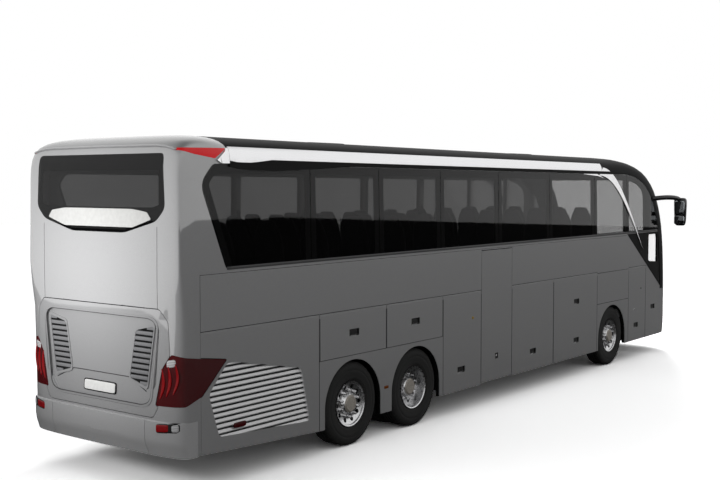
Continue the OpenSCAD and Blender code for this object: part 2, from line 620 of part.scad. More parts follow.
// Front mask with its headlamps and lower grille
headlamp_shares = [[0.55, 0.17], [0.79, 0.24], [0.935, 0.48], [0.953, 0.72], [0.785, 0.655], [0.596, 0.48]];
headlamp_corner = 30;
function mask_points(shares) = [for (s = shares) [half * s[0], mix(front_bumper_top, screen_base, s[1])]];
headlamp_outline = rounded(mask_points(headlamp_shares), headlamp_corner);
mask_grille_shares = [[0.41, 0.12], [0.44, 0.36]];
mask_grille = mirrored(mask_points(mask_grille_shares));
mask_bar_shares = [1 / 3, 2 / 3];
mask_bar = 25;
module front_panel()
    color(paint) {
        difference() {
            nose_skin(mask_rows, 0, len(mask_rows) - 1, 0, wall);
            for (side = [-1, 1])
                end_prism(turned(grown(headlamp_outline, seam), side), nose_edge, body_length + wall);
            difference() {
                end_prism(rounded(mask_grille, headlamp_corner), nose_edge, body_length + wall);
                for (s = mask_bar_shares)
                translate([at(nose_edge), -half, mix(mask_grille[0][1], mask_grille[1][1], s)])
                cube([nose_depth, body_width, mask_bar]);
            }
        }
        nose_skin(chin_rows, 0, len(chin_rows) - 1, 0, wall);
    }
module headlamps()
    color(chrome) for (side = [-1, 1]) intersection() {
        nose_skin(mask_rows, 0, len(mask_rows) - 1, 0, wall);
        end_prism(turned(headlamp_outline, side), nose_edge - wall, body_length + wall);
    }
screen_top_drop = 120;
screen_top_share = 0.94;
screen_reach = 60;
screen_outline = rounded(mirrored([[screen_half_width, screen_base + bond],
                [screen_half_width * screen_top_share, cornice_height - screen_top_drop]]),
                screen_reach);
module front_frame()
    color(dark) difference() {
        nose_skin(nose_rows, 0, nose_rows_count, 0, wall);
        intersection() {
            nose_skin(nose_rows, 0, screen_rows + 2, -wall, glass + seam);
            end_prism(grown(screen_outline, seam), body_length - dome_length, body_length + wall);
        }
        end_prism(grown(screen_outline, -bond), body_length - dome_length, body_length + wall);
    }
module windscreen()
    color(tint) intersection() {
        nose_skin(nose_rows, 0, screen_rows + 2, 0, glass);
        end_prism(screen_outline, body_length - dome_length, body_length + wall);
    }

// Roof: half of its section by angle, grown outward by a margin
shoulder_steps = 14;
function shoulder(angle, margin) = [
    (half_at(cornice_height) + margin) * pow(sin(angle), 2 / crown_power),
    cornice_height + (roof_height - cornice_height + margin) * pow(max(0, cos(angle)), 2 / crown_power)];
function roof_arc(margin, first, last) =
    [for (i = [0 : shoulder_steps]) shoulder(mix(first, last, i / shoulder_steps), margin)];
roof_length = body_length - roof_cap - dome_length;
fall_angle = atan(roof_fall / roof_length);
function cornice_at(d) = cornice_height - roof_fall * max(0, d - roof_cap) / roof_length;
// Sections drawn in [across, height] run forward from the roof cap along the falling roof edge
module along_roof(length)
    translate([at(roof_cap), 0, cornice_height]) rotate([0, fall_angle, 0])
        translate([seam, 0, -cornice_height]) rotate([90, 0, 90]) linear_extrude(length) children();
module roof()
    color(dark) along_roof(roof_length - 2 * seam - roof_rise * sin(fall_angle))
            difference() {
                polygon(mirrored(roof_arc(0, 90, 0)));
                polygon(mirrored(roof_arc(-wall, 90, 0)));
            }
trim_proud = 18;
trim_bed = 2.4;
// Lower and upper edge of the trim, as shares of the roof's rise
trim_shares = [0.03, 0.53];
trim_low_angle = acos(pow(trim_shares[0], crown_power / 2));
trim_high_angle = acos(pow(trim_shares[1], crown_power / 2));
trim_inner = roof_arc(seam, trim_low_angle, trim_high_angle);
trim_outer = roof_arc(trim_proud, trim_low_angle, trim_high_angle);
trim_front = 1160;
trim_end = cab_joint - trim_front;
// Chrome blade from the roof edge past the waist: places from the cab flap's line, drops from the window top
blade_places = [-1180, -610, -160, 580];
blade_drops = [10, 30, 500, 1440];
blade_line = [for (i = [0 : len(blade_places) - 1])
    [cab_joint + blade_places[i], cornice_height - blade_drops[i]]];
blade_half_width = 105;
blade_slant_shares = [0.75, 0.66];
blade_steps = 14;
function blade_side(side) =
    [for (i = [0 : blade_steps]) let (t = i / blade_steps) bezier(blade_line, t)
        + side * blade_half_width * (1 - t) * blade_slant_shares];
trim_root_share = 0.85;
// Rear end of the trim on the roof cap, against the roof-edge lamp
trim_tail_outline = [crest_outline[2] + [trim_proud, -trim_proud], crest_outline[1] + [seam, 0],
                [roof_cap - seam, roof_height - crest_drops[1]], [roof_cap - seam, cornice_height],
                [roof_cap * trim_root_share, cornice_height]];
// Swell of the trim's lower edge: reach from the roof joint and drop from the window top
swell_reach = [0, 260, 700, 1500, 2100];
swell_drop = [35, 68, 80, 45, 12];
swell = concat([for (i = [0 : len(swell_reach) - 1])
                [roof_cap + swell_reach[i], cornice_height - swell_drop[i]]],
               [[roof_cap + swell_reach[4], cornice_height - seam], [roof_cap, cornice_height - seam]]);
// Tip of the trim at its front end: reach from the trim's end and drop from the window top
tip_reach = [-700, -150, 95, -180];
tip_drop = [60, 90, 130, 60];
trim_tip = concat([for (i = [0 : 2]) [trim_end + tip_reach[i], cornice_height - tip_drop[i]]],
                [[trim_end + tip_reach[3], cornice_at(trim_end) - seam],
                [trim_end + tip_reach[0], cornice_at(trim_end) - seam]]);
module roof_trim()
    color(chrome) for (side = [-1, 1]) to_side(side) {
        intersection() {
            tail_skin(tail_rows, tail_face_last, len(tail_rows) - 1, -trim_proud, -trim_bed);
            shoulder_prism(trim_tail_outline);
        }
        band_plate(swell, -trim_proud, -seam);
        band_plate(trim_tip, -trim_proud, -seam);
        along_roof(trim_end - roof_cap)
            polygon(turned(concat(trim_inner, [for (i = [shoulder_steps : -1 : 0]) trim_outer[i]]), -1));
        difference() {
            band_plate(concat(blade_side(1), [for (i = [blade_steps - 1 : -1 : 0]) blade_side(-1)[i]]),
                -trim_proud, -seam);
            if (side > 0) door_opening(entry_start, entry_width);
        }
    }

// Joint line under the windows, down from the waist
skirt_drop = 34;
skirt_line = waist_height - skirt_drop;
// Side glazing: the band and its panes, in [distance from the tail, height]
band_tail_reach = [730, 375, 570];
band_tail_drop = 210;
band_tail = [[band_tail_reach[0], waist_height], [band_tail_reach[1], cornice_height - band_tail_drop],
             [band_tail_reach[2], cornice_height - seam]];
diagonal_start = body_length * pane_joint_shares[6];
diagonal_foot = 60;
diagonal_end = [nose_edge, screen_base + diagonal_foot];
pane_edges = concat([0], [for (s = pane_joint_shares) s * body_length], [far]);
function between(a, b) = [[a, 0], [b, 0], [b, roof_height], [a, roof_height]];
band_corners = [60, 120, 60];
band_points = concat(corner([far, waist_height], band_tail[0], band_tail[1], band_corners[0]),
                corner(band_tail[0], band_tail[1], band_tail[2], band_corners[1]),
                corner(band_tail[1], band_tail[2], [far, cornice_at(far) - seam], band_corners[2]),
                [[far, cornice_at(far) - seam], [far, waist_height]]);
cab_pane = [[diagonal_start, waist_height - pane_gap], diagonal_end - [seam, 0], [far, diagonal_end[1]],
            [far, waist_height - pane_gap]];
last_opening_share = 0.55;
last_opening = nose_edge - nose_depth * last_opening_share;
cab_window_margin = [260, 90, 150];
cab_window = [[diagonal_start + cab_window_margin[0], waist_height - pane_gap - bond],
              [nose_edge - cab_window_margin[1], diagonal_end[1] + cab_window_margin[2]],
              [nose_edge - cab_window_margin[1], waist_height - pane_gap - bond]];
// Section of the right wall in [across, height]: upright to the waist, leaning in above it
wall_section = [[-half, 0], [-half + wall, 0], [-half + wall, waist_height],
                [-half_at(roof_height) + wall, roof_height], [-half_at(roof_height), roof_height],
                [-half, waist_height]];
module side_wall(side, flaps)
    color(paint) to_side(side) difference() {
        intersection() {
            side_plate(side_outline, -wall, wall * 3);
            translate([at(0), 0, 0]) rotate([90, 0, 90]) linear_extrude(body_length) polygon(wall_section);
        }
        band_plate(band_points, -wall, glass + seam);
        for (i = [0 : len(pane_edges) - 2]) intersection() {
            band_plate(grown(band_points, -bond), -wall, wall * 2);
            band_plate(between(pane_edges[i] + pillar_width / 2,
                min(last_opening, pane_edges[i + 1]) - pillar_width / 2), -wall, wall * 2);
        }
        if (side < 0) {
            side_plate(cab_pane, -wall, glass + seam);
            side_plate(cab_window, -wall, wall * 2);
        }
        for (place = axle_places) translate([at(place), -half - wall, tyre_radius]) rotate([-90, 0, 0])
            cylinder(r = arch_radius, h = wall * 3);
        for (place = axle_places) translate([at(place) - arch_radius, -half - wall, 0])
            cube([arch_radius * 2, wall * 3, tyre_radius]);
        for (flap = flaps) flap_opening(flap);
        side_plate([[0, belt_height - seam], [far, belt_height - seam], [far, belt_height], [0, belt_height]],
                -wall, wall * 2);
        side_plate(box_at([corner_joint, mix(belt_height, skirt_line, 0.5)],
                [joint_width, skirt_line - belt_height]), -wall, joint_depth);
        side_plate(box_at([mix(corner_joint, diagonal_start, 0.5), skirt_line],
                [diagonal_start - corner_joint, joint_width]), -wall, joint_depth);
        grip(nose_joint + nose_grip_ahead, nose_grip_height);
        tail_lamp_prism(seam);
        if (side < 0) door_opening(side_door_start, side_door_end - side_door_start);
        if (side > 0) door_opening(entry_start, entry_width);
    }
module door_opening(start, width)
    side_plate([[start - door_gap / 2, 0], [start + width + door_gap / 2, 0],
                [start + width + door_gap / 2, door_top + door_gap],
                [start - door_gap / 2, door_top + door_gap]], -wall, wall * 2);
module side_windows()
    color(tint) for (side = [-1, 1]) to_side(side) {
        for (i = [0 : len(pane_edges) - 2]) intersection() {
            band_plate(side_outline, 0, glass);
            band_plate(grown(band_points, -seam), 0, glass);
            band_plate(between(pane_edges[i] + pane_gap / 2, pane_edges[i + 1] - pane_gap / 2), 0, glass);
            band_plate(above_waist, 0, glass);
        }
        if (side < 0) intersection() {
            side_plate(side_outline, 0, glass);
            side_plate(grown(cab_pane, -seam), 0, glass);
        }
    }

// Doors swing out on parallel arms; the entry door is glazed
door_bracket = 80;
arm_pin = 12;
post_radius = 22;
arm_height = 40;
arm_width = 30;
arm_heights = [700, 1850];
pivot_setback = 70;
post_foot = 10;
pivot_depth = wall + door_bracket;
// Place of the arm's post, from the door's front edge
function pivot_of(start, width) = start + width - pivot_setback;
function arm_end(start, width) = at(pivot_of(start, width) - door_arm_reach);
module door_leaf(start, width) {
    side_plate([[start + door_gap / 2, door_foot], [start + width - door_gap / 2, door_foot],
                [start + width - door_gap / 2, door_top], [start + door_gap / 2, door_top]], 0, wall);
    for (z = arm_heights) {
        translate([arm_end(start, width) - arm_width, -half + wall - seam, z - arm_height * 3 / 2])
            cube([arm_width * 2, door_bracket + arm_width + seam, arm_height]);
        translate([arm_end(start, width), -half + pivot_depth, z - arm_height])
            cylinder(r = arm_pin, h = arm_height * 2);
    }
}
module door_arm(start, width)
    difference() {
        union() {
            translate([at(pivot_of(start, width)), -half + pivot_depth, door_foot + floor_thick + post_foot])
                cylinder(r = post_radius, h = door_top - door_foot - 3 * floor_thick);
            for (z = arm_heights) {
                translate([arm_end(start, width), -half + pivot_depth - arm_width / 2,
                z - arm_height / 2 + seam])
                cube([door_arm_reach, arm_width, arm_height]);
                translate([arm_end(start, width), -half + pivot_depth, z - arm_height / 2 + seam])
                cylinder(r = arm_width, h = arm_height);
            }
        }
        for (z = arm_heights)
            translate([arm_end(start, width), -half + pivot_depth, z - arm_height])
                cylinder(r = arm_pin + running_fit, h = arm_height * 3);
    }
entry_glass_low = 1050;
entry_glass_drop = 70;
entry_glass_high = door_top - entry_glass_drop;
entry_glass_side = 80;
function entry_glass_outline(m) =
    box_at([entry_start + entry_width / 2, mix(entry_glass_low, entry_glass_high, 0.5)],
           [entry_width - 2 * (entry_glass_side - m), entry_glass_high - entry_glass_low + 2 * m]);
module entry_door()
    color(paint) to_side(1) difference() {
        door_leaf(entry_start, entry_width);
        side_plate(entry_glass_outline(seam), -wall, glass + seam);
        side_plate(entry_glass_outline(-bond), -wall, wall - seam * 2);
    }
module entry_door_glass()
    color(tint) to_side(1) side_plate(entry_glass_outline(0), 0, glass);
module entry_door_arm()
    color(iron) to_side(1) door_arm(entry_start, entry_width);
door_lock_height = 680;
module side_door()
    color(paint) difference() {
        door_leaf(side_door_start, side_door_end - side_door_start);
        side_plate(rounded(box_at([mix(side_door_start, side_door_end, 0.5), door_lock_height],
                [grip_height, grip_height]), grip_corner), -seam, grip_depth / 2);
    }
module side_door_arm()
    color(iron) door_arm(side_door_start, side_door_end - side_door_start);

// Floors, bay and chassis
module slab(from, to, y0, y1, z0, z1) translate([at(from), y0, z0]) cube([to - from, y1 - y0, z1 - z0]);
floor_side = side_in - seam;
stair_depth = 760;
stair_inner = side_in - stair_depth;
entry_step_share = 0.4;
bulkhead_gap = 150;
bay_bulkhead = front_place - arch_radius - bulkhead_gap;
steps = 4;
module post_bore(start, width)
    translate([at(pivot_of(start, width)), -half + pivot_depth, door_foot + floor_thick + post_foot / 2])
        cylinder(r = post_radius + running_fit, h = floor_thick * 2);
well_inner = stair_inner + stair_depth * entry_step_share;
module saloon_floor()
    color(dark) {
        difference() {
            slab(tail_depth + wall, cab_joint, -floor_side, floor_side,
                deck_height - floor_thick, deck_height);
            slab(side_door_start, side_door_end, -side_in - wall, -stair_inner, 0, deck_height * 2);
        }
        difference() {
            side_well();
            post_bore(side_door_start, side_door_width);
        }
        difference() {
            cab_floor();
            to_side(1) post_bore(entry_start, entry_width);
        }
    }
// Stairs of the side door, in a well of three walls
module side_well() {
    difference() {
        slab(side_door_start - floor_thick, side_door_end + floor_thick,
             -floor_side, -stair_inner + floor_thick, door_foot + floor_thick,
             deck_height - floor_thick - seam);
        slab(side_door_start, side_door_end, -half, -stair_inner,
             door_foot + 2 * floor_thick, deck_height * 2);
    }
    for (i = [1 : steps - 1]) let (rise = (deck_height - door_foot) / steps)
        slab(side_door_start, side_door_end - pivot_setback * 2, -stair_inner - stair_depth * (1 - i / steps),
             -stair_inner, door_foot + i * rise, door_foot + (i + 1) * rise - floor_thick);
}
// Cab floor with its riser and the step well of the entry door
module cab_floor() {
    difference() {
        slab(cab_joint, nose_edge, -floor_side, floor_side, cab_height - floor_thick, cab_height);
        slab(entry_start, entry_start + entry_width, well_inner, half, 0, deck_height);
    }
    slab(cab_joint - floor_thick, cab_joint, -floor_side, floor_side, cab_height - floor_thick,
         deck_height - floor_thick - seam);
    difference() {
        slab(entry_start - floor_thick / 2, entry_start + entry_width + floor_thick, well_inner - floor_thick,
             floor_side, door_foot + floor_thick, cab_height - floor_thick);
        slab(entry_start + floor_thick / 2, entry_start + entry_width, well_inner, half,
             door_foot + 2 * floor_thick, deck_height);
    }
}
bay_floor = 400;
module luggage_bay()
    color(dark) {
        difference() {
            slab(bay_start + floor_thick, bay_bulkhead, -floor_side, floor_side,
                bay_floor - floor_thick, bay_floor);
            slab(side_door_start - floor_thick - seam, side_door_end + floor_thick + seam, -half,
                -stair_inner + floor_thick + seam, 0, deck_height);
        }
        for (d = [bay_start + floor_thick, bay_bulkhead - floor_thick])
            slab(d, d + floor_thick, -floor_side, floor_side, bay_floor, deck_height - floor_thick - seam);
    }
house_top = arch_line_height - seam;
house_thick = 20;
house_inner = 540;
house_start = rear_arch_joint + floor_thick;
module wheelhouses()
    color(dark) for (side = [-1, 1]) to_side(side) {
        slab(house_start, bay_start, -floor_side, -house_inner, house_top - house_thick, house_top);
        slab(house_start, house_start + house_thick, -floor_side, -house_inner, bay_floor, house_top);
        slab(bay_bulkhead + seam, cab_joint - floor_thick - seam, -floor_side, -house_inner,
             house_top - house_thick, house_top);
    }
rail_place = 460;
rail_width = 80;
rail_low = 770;
rail_high = cab_height - floor_thick - seam;
rear_rail_end = bay_start + floor_thick - seam;
cross_places_shares = [0.02, 0.45, 0.72, 0.98];
rail_nose_share = 0.6;
pad_radius = 55;
pad_drop = 12;
module rail(from, to) {
    for (side = [-1, 1])
        slab(from, to, side * rail_place - rail_width / 2, side * rail_place + rail_width / 2,
             rail_low, rail_high);
    for (s = cross_places_shares) let (d = mix(from, to - rail_width, s))
        slab(d, d + rail_width, -rail_place, rail_place, rail_low + rail_width / 2, rail_high);
}
jack_places = [[rear_arch_joint, rail_place], [entry_start + entry_width, rail_place]];
front_rail_start = bay_bulkhead + seam;
module underframe()
    color(iron) {
        rail(tail_depth + wall + rail_width, rear_rail_end);
        rail(front_rail_start, nose_edge + nose_depth * rail_nose_share);
        for (place = jack_places) for (side = [-1, 1])
            translate([at(place[0]), side * place[1], rail_low - pad_drop])
                cylinder(r = pad_radius, h = pad_drop + floor_thick);
    }
engine_length = 1350;
engine_width = 2 * (rail_place - rail_width / 2 - seam);
engine_low = 480;
engine_high = deck_height - floor_thick - engine_room;
engine_start = 640;
module engine()
    color(iron) slab(engine_start, engine_start + engine_length, -engine_width / 2, engine_width / 2,
                engine_low, engine_high);

// Axles, knuckles and wheels
tube_radius = 75;
spring_radius = 88;
stub_radius = 45;
wheel_face = tyre_outer - tyre_width / 2;
module along_y(y0, y1, r) translate([0, y0, 0]) rotate([-90, 0, 0]) cylinder(r = r, h = y1 - y0);
module axle_springs()
    for (side = [-1, 1]) translate([0, side * rail_place, 0])
        cylinder(r = spring_radius, h = rail_low - tyre_radius - seam);
hub_radius = 140;
hub_inner = 840;
twin_hub_inner = 560;
module fixed_axle(place, inner, bulge)
    color(iron) translate([at(place), 0, tyre_radius]) {
        along_y(-inner + seam, inner - seam, tube_radius);
        along_y(-wheel_face, wheel_face, stub_radius);
        axle_springs();
        if (bulge > 0) sphere(r = bulge);
    }
diff_radius = 210;
module tag_axle() fixed_axle(tag_axle_place, hub_inner, 0);
module drive_axle() fixed_axle(drive_place, twin_hub_inner, diff_radius);
kingpin_radius = 28;
kingpin_length = 260;
eye_radius = 58;
eye_height = 60;
beam_height = 120;
module front_axle()
    color(iron) translate([at(front_place), 0, tyre_radius]) {
        translate([-tube_radius, -kingpin_place, -beam_height / 2])
            cube([tube_radius * 2, kingpin_place * 2, beam_height]);
        for (side = [-1, 1]) translate([0, side * kingpin_place, 0]) {
            translate([0, 0, -beam_height / 2]) cylinder(r = tube_radius, h = beam_height);
            translate([0, 0, -kingpin_length / 2]) cylinder(r = kingpin_radius, h = kingpin_length);
        }
        axle_springs();
    }
steer_hub_inner = kingpin_place + tube_radius + eye_height + seam;
module knuckle(side)
    color(iron) to_side(side) translate([at(front_place), -kingpin_place, tyre_radius]) difference() {
        union() {
            for (z = [beam_height / 2 + seam, -beam_height / 2 - seam - eye_height])
                translate([0, 0, z]) {
                cylinder(r = eye_radius, h = eye_height);
                translate([-eye_radius, -tube_radius - eye_height, 0])
                cube([eye_radius * 2, tube_radius + eye_height, eye_height]);
                }
            translate([-eye_radius, -tube_radius - eye_height, -beam_height / 2 - eye_height - seam])
                cube([eye_radius * 2, eye_height - 2 * lid_gap, beam_height + 2 * eye_height + 2 * seam]);
            along_y(-(wheel_face - kingpin_place), -tube_radius - lid_gap * 3, stub_radius);
        }
        translate([0, 0, -kingpin_length]) cylinder(r = kingpin_radius + running_fit, h = kingpin_length * 2);
    }
// Outer half of the tyre's section: [radius, share of the width from the outer face]
bead_drop = 12;
flange_rise = 22;
tread_drop = 12;
tread_shoulder = 45;
tyre_bead = rim_radius - bead_drop;
tyre_shares = [[tyre_bead, 0.12], [rim_radius + flange_rise, 0.05], [mix(rim_radius, tyre_radius, 0.5), 0],
               [tyre_radius - tread_shoulder, 0.03], [tyre_radius - tread_drop, 0.09], [tyre_radius, 0.17]];
tyre_section = concat([for (s = tyre_shares) [s[0], tyre_width * s[1]]],
                [for (i = [len(tyre_shares) - 1 : -1 : 0])
                [tyre_shares[i][0], tyre_width * (1 - tyre_shares[i][1])]]);
module tyre_ring(outer)
    translate([0, -outer, 0]) rotate([-90, 0, 0]) rotate_extrude($fn = 96) polygon(tyre_section);
module at_wheel(place, side) translate([at(place), 0, tyre_radius]) to_side(side) children();
module single_tyre(place, side) color(dark) at_wheel(place, side) tyre_ring(tyre_outer);
module twin_tyres(side)
    color(dark) at_wheel(drive_place, side) {
        tyre_ring(tyre_outer);
        tyre_ring(tyre_outer - twin_pitch);
    }
rim_wall = 12;
barrel_radius = tyre_bead - seam;
hole_radius = 28;
hole_circle = 212;
nut_circle = 167.5;
nut_radius = 18;
nut_land = 25;
hub_bevel = [20, 30];
hub_crown = 50;
// Barrel of a rim: [wall thicknesses in from the bead, share of the width from the outer face]
barrel_shares = [[1.5, 0.84], [0.5, 0.88], [0, 0.84], [0, 0.16], [0.5, 0.05], [1.5, 0.07]];
// Discs: depth at the rim, at the wheel nuts and at the end of the hub, in from the tyre's outer face
DISC_RIM = 0;
DISC_NUTS = 1;
DISC_HUB = 2;
single_disc = [40, 62, 4];
twin_disc = [150, 150, 60];
module round_wheel() for (i = [0 : wheel_holes - 1]) rotate([0, 360 * i / wheel_holes, 0]) children();
module disc_wheel(outer, disc, hub_in, bore)
    translate([0, -outer, 0]) {
        difference() {
            rotate([-90, 0, 0]) rotate_extrude($fn = 72)
                polygon(concat(
                [[bore, hub_in], [hub_radius, hub_in], [hub_radius, disc[DISC_NUTS] + rim_wall * 2],
                [nut_circle + nut_land, disc[DISC_NUTS] + rim_wall * 2],
                [barrel_radius - rim_wall * barrel_shares[0][0], disc[DISC_RIM] + rim_wall * 2]],
                [for (s = barrel_shares) [barrel_radius - rim_wall * s[0], tyre_width * s[1]]],
                [[barrel_radius - rim_wall * 2, disc[DISC_RIM]],
                [nut_circle + nut_land, disc[DISC_NUTS]], [hub_radius, disc[DISC_NUTS]],
                [hub_radius - hub_bevel[0], disc[DISC_HUB] + hub_bevel[1]],
                [hub_radius - hub_crown, disc[DISC_HUB]], [0, disc[DISC_HUB]],
                [0, disc[DISC_HUB] + rim_wall * 2], [bore, disc[DISC_HUB] + rim_wall * 2]]));
            round_wheel() translate([hole_circle, 0, 0]) rotate([-90, 0, 0])
                cylinder(r = hole_radius, h = tyre_width);
        }
        rotate([0, 180 / wheel_holes, 0]) round_wheel()
            translate([nut_circle, disc[DISC_NUTS] - rim_wall * 2, 0]) rotate([-90, 0, 0])
                cylinder(r = nut_radius, h = rim_wall * 3, $fn = 6);
    }
stub_bore = stub_radius + running_fit;
module single_wheel(place, side, hub_inner_place)
    color(alloy) at_wheel(place, side)
        disc_wheel(tyre_outer, single_disc, tyre_outer - hub_inner_place, stub_bore);
// Inner rim of the twins: [radius, share of the width from its tyre's outer face]
inner_barrel = barrel_radius - rim_wall;
inner_rim_shares = [[hub_radius + seam, 0.4], [inner_barrel, 0.4], [inner_barrel, 0.12], [barrel_radius, 0.12],
                [barrel_radius, 0.84], [inner_barrel, 0.84], [inner_barrel, 0.5], [hub_radius + seam, 0.5]];
module twin_wheels(side)
    color(alloy) at_wheel(drive_place, side) {
        disc_wheel(tyre_outer, twin_disc, tyre_outer - twin_hub_inner, stub_bore);
        translate([0, -tyre_outer + twin_pitch, 0]) rotate([-90, 0, 0]) rotate_extrude($fn = 72)
            polygon([for (s = inner_rim_shares) [s[0], tyre_width * s[1]]]);
    }

// Seats, cab and mirrors
cushion_depth = 470;
cushion_thick = 140;
cushion_lift = 330;
back_thick = 130;
back_lean = 120;
aisle = 420;
// Leg of a seat along and across, and thickness of the back's top, as shares of the cushion and the back
leg_along_shares = [0.3, 0.5];
leg_across_shares = [0.4, 0.6];
back_top_share = 0.6;
// A row leaves out its right seat where the side door's stairs come up
function over_stairs(d) = d + cushion_depth > side_door_start - back_thick
                && d - back_thick - back_lean < side_door_end;
module seat(d) {
    inner = -aisle / 2;
    seat_foot = deck_height + cushion_lift;
    slab(d, d + cushion_depth, inner - seat_width, inner, seat_foot, seat_foot + cushion_thick);
    slab(d + cushion_depth * leg_along_shares[0], d + cushion_depth * leg_along_shares[1],
         inner - seat_width * leg_across_shares[1], inner - seat_width * leg_across_shares[0],
         deck_height + seam, seat_foot - seam);
    translate([at(d) - seam, inner, deck_height]) rotate([90, 0, 0]) linear_extrude(seat_width)
        polygon([[0, cushion_lift], [-back_lean, seat_height],
                [-back_lean - back_thick * back_top_share, seat_height], [-back_thick, cushion_lift]]);
}
module seats()
    color(dark) for (i = [0 : seat_rows - 1]) let (d = first_row + i * seat_pitch) {
        to_side(1) seat(d);
        if (!over_stairs(d)) seat(d);
        if (i == 0) driver_seat();
    }
driver_place = -560;
driver_width = 500;
driver_setback = 1250;
driver_lift = 420;
driver_leg_shares = [0.3, 0.7];
dash_height = 1450;
dash_depth = 250;
dash_shelf = 150;
dash_fall = 60;
wheel_setback = 260;
wheel_drop = 40;
wheel_ring = 220;
wheel_grip = 17;
wheel_rake = -62;
column_radius = 30;
column_length = 312;
spoke_width = 40;
module driver_seat()
    translate([0, driver_place, 0]) {
        front = nose_edge - driver_setback + cushion_depth;
        slab(nose_edge - driver_setback, front, -driver_width / 2, driver_width / 2, cab_height + driver_lift,
             cab_height + driver_lift + cushion_thick);
        slab(front - cushion_depth * driver_leg_shares[1], front - cushion_depth * driver_leg_shares[0],
             -cushion_thick, cushion_thick, cab_height + seam, cab_height + driver_lift - seam);
        slab(nose_edge - driver_setback - back_thick, nose_edge - driver_setback - seam, -driver_width / 2,
             driver_width / 2, cab_height + driver_lift, cab_height + seat_height);
    }
module cockpit()
    color(dark) {
        translate([at(nose_edge - seam), side_in - wall, cab_height + seam]) rotate([90, 0, 0])
            linear_extrude(2 * (side_in - wall))
                polygon([[0, 0], [0, dash_height - cab_height],
                [dash_shelf, dash_height - cab_height - dash_fall], [dash_depth, 0]]);
        translate([at(nose_edge - wheel_setback), driver_place, dash_height - wheel_drop])
            rotate([0, wheel_rake, 0]) {
                rotate_extrude() translate([wheel_ring, 0, 0]) circle(r = wheel_grip);
                translate([-wheel_ring, -spoke_width / 2, -wheel_grip / 2])
                cube([wheel_ring * 2, spoke_width, wheel_grip]);
                translate([0, 0, -column_length]) cylinder(r = column_radius, h = column_length);
            }
    }
mirror_root_share = 1.4;
mirror_drop = 500;
mirror_setback = 375;
mirror_reach = 225;
mirror_root = [body_length - nose_depth * mirror_root_share, cornice_height - mirror_drop];
mirror_head = [body_length - mirror_setback, half + mirror_reach];
mirror_size = [130, 250, 540];
mirror_taper_share = 0.15;
mirror_corner = 40;
mirror_arm = 32;
mirror_foot = 52;
module mirrors()
    color(dark) difference() {
        for (side = [-1, 1]) to_side(side) {
            run = [mirror_head[0] - mirror_root[0], -mirror_head[1] + half_at(mirror_root[1])];
            translate([at(mirror_root[0]), -half_at(mirror_root[1]), mirror_root[1]]) {
                rotate([0, 0, atan2(run[1], run[0])]) rotate([0, 90, 0])
                cylinder(r = mirror_arm, h = norm(run));
                translate([0, wall, 0]) rotate([90, 0, 0]) cylinder(r = mirror_foot, h = wall + mirror_arm);
            }
            translate([at(mirror_head[0]) - mirror_size[0] / 2, -mirror_head[1] - mirror_size[1] / 2,
                mirror_root[1] - mirror_size[2]])
                linear_extrude(mirror_size[2] + mirror_arm)
                polygon(rounded([[0, 0], [mirror_size[0], mirror_size[1] * mirror_taper_share],
                [mirror_size[0], mirror_size[1] * (1 - mirror_taper_share)],
                [0, mirror_size[1]]], mirror_corner));
        }
        nose_skin(nose_rows, 3, screen_rows + 3, -seam, wall * 4);
    }

// One line for each sub-part
underframe();
wheelhouses();
saloon_floor();
luggage_bay();
engine();
front_axle();
drive_axle();
tag_axle();
side_wall(-1, flaps_right);  // side_wall_right
side_wall(1, flaps_left);  // side_wall_left
roof();
roof_trim();
side_windows();
windscreen();
rear_window();
front_frame();
front_panel();
headlamps();
mirrors();
rear_panel();
rear_bumper();
rear_lamps();
seats();
cockpit();
engine_hatch();
engine_flap(flaps_right[0], -1);  // engine_flap_right
plain_flap(flaps_right[1], -1);  // tag_flap_right
plain_flap(flaps_right[2], -1);  // drive_flap_right
plain_flap(flaps_right[3], -1);  // bay_flap_1_right
plain_flap(flaps_right[4], -1);  // bay_flap_2_right
plain_flap(flaps_right[5], -1);  // bay_flap_3_right
plain_flap(flaps_right[6], -1);  // cab_flap_right
engine_flap(flaps_left[0], 1);  // engine_flap_left
plain_flap(flaps_left[1], 1);  // tag_flap_left
plain_flap(flaps_left[2], 1);  // drive_flap_left
plain_flap(flaps_left[3], 1);  // bay_flap_1_left
plain_flap(flaps_left[4], 1);  // bay_flap_2_left
plain_flap(flaps_left[5], 1);  // bay_flap_3_left
entry_door();
entry_door_glass();
entry_door_arm();
side_door();
side_door_arm();
knuckle(-1);  // knuckle_right
knuckle(1);  // knuckle_left
single_tyre(front_place, -1);  // tyre_front_right
single_tyre(front_place, 1);  // tyre_front_left
twin_tyres(-1);  // tyre_drive_right
twin_tyres(1);  // tyre_drive_left
single_tyre(tag_axle_place, -1);  // tyre_tag_right
single_tyre(tag_axle_place, 1);  // tyre_tag_left
single_wheel(front_place, -1, steer_hub_inner);  // wheel_front_right
single_wheel(front_place, 1, steer_hub_inner);  // wheel_front_left
twin_wheels(-1);  // wheel_drive_right
twin_wheels(1);  // wheel_drive_left
single_wheel(tag_axle_place, -1, hub_inner);  // wheel_tag_right
single_wheel(tag_axle_place, 1, hub_inner);  // wheel_tag_left
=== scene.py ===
"""Looks of a three-axle touring coach: finishes, glazing, lamps, tyres, seats and small fittings."""

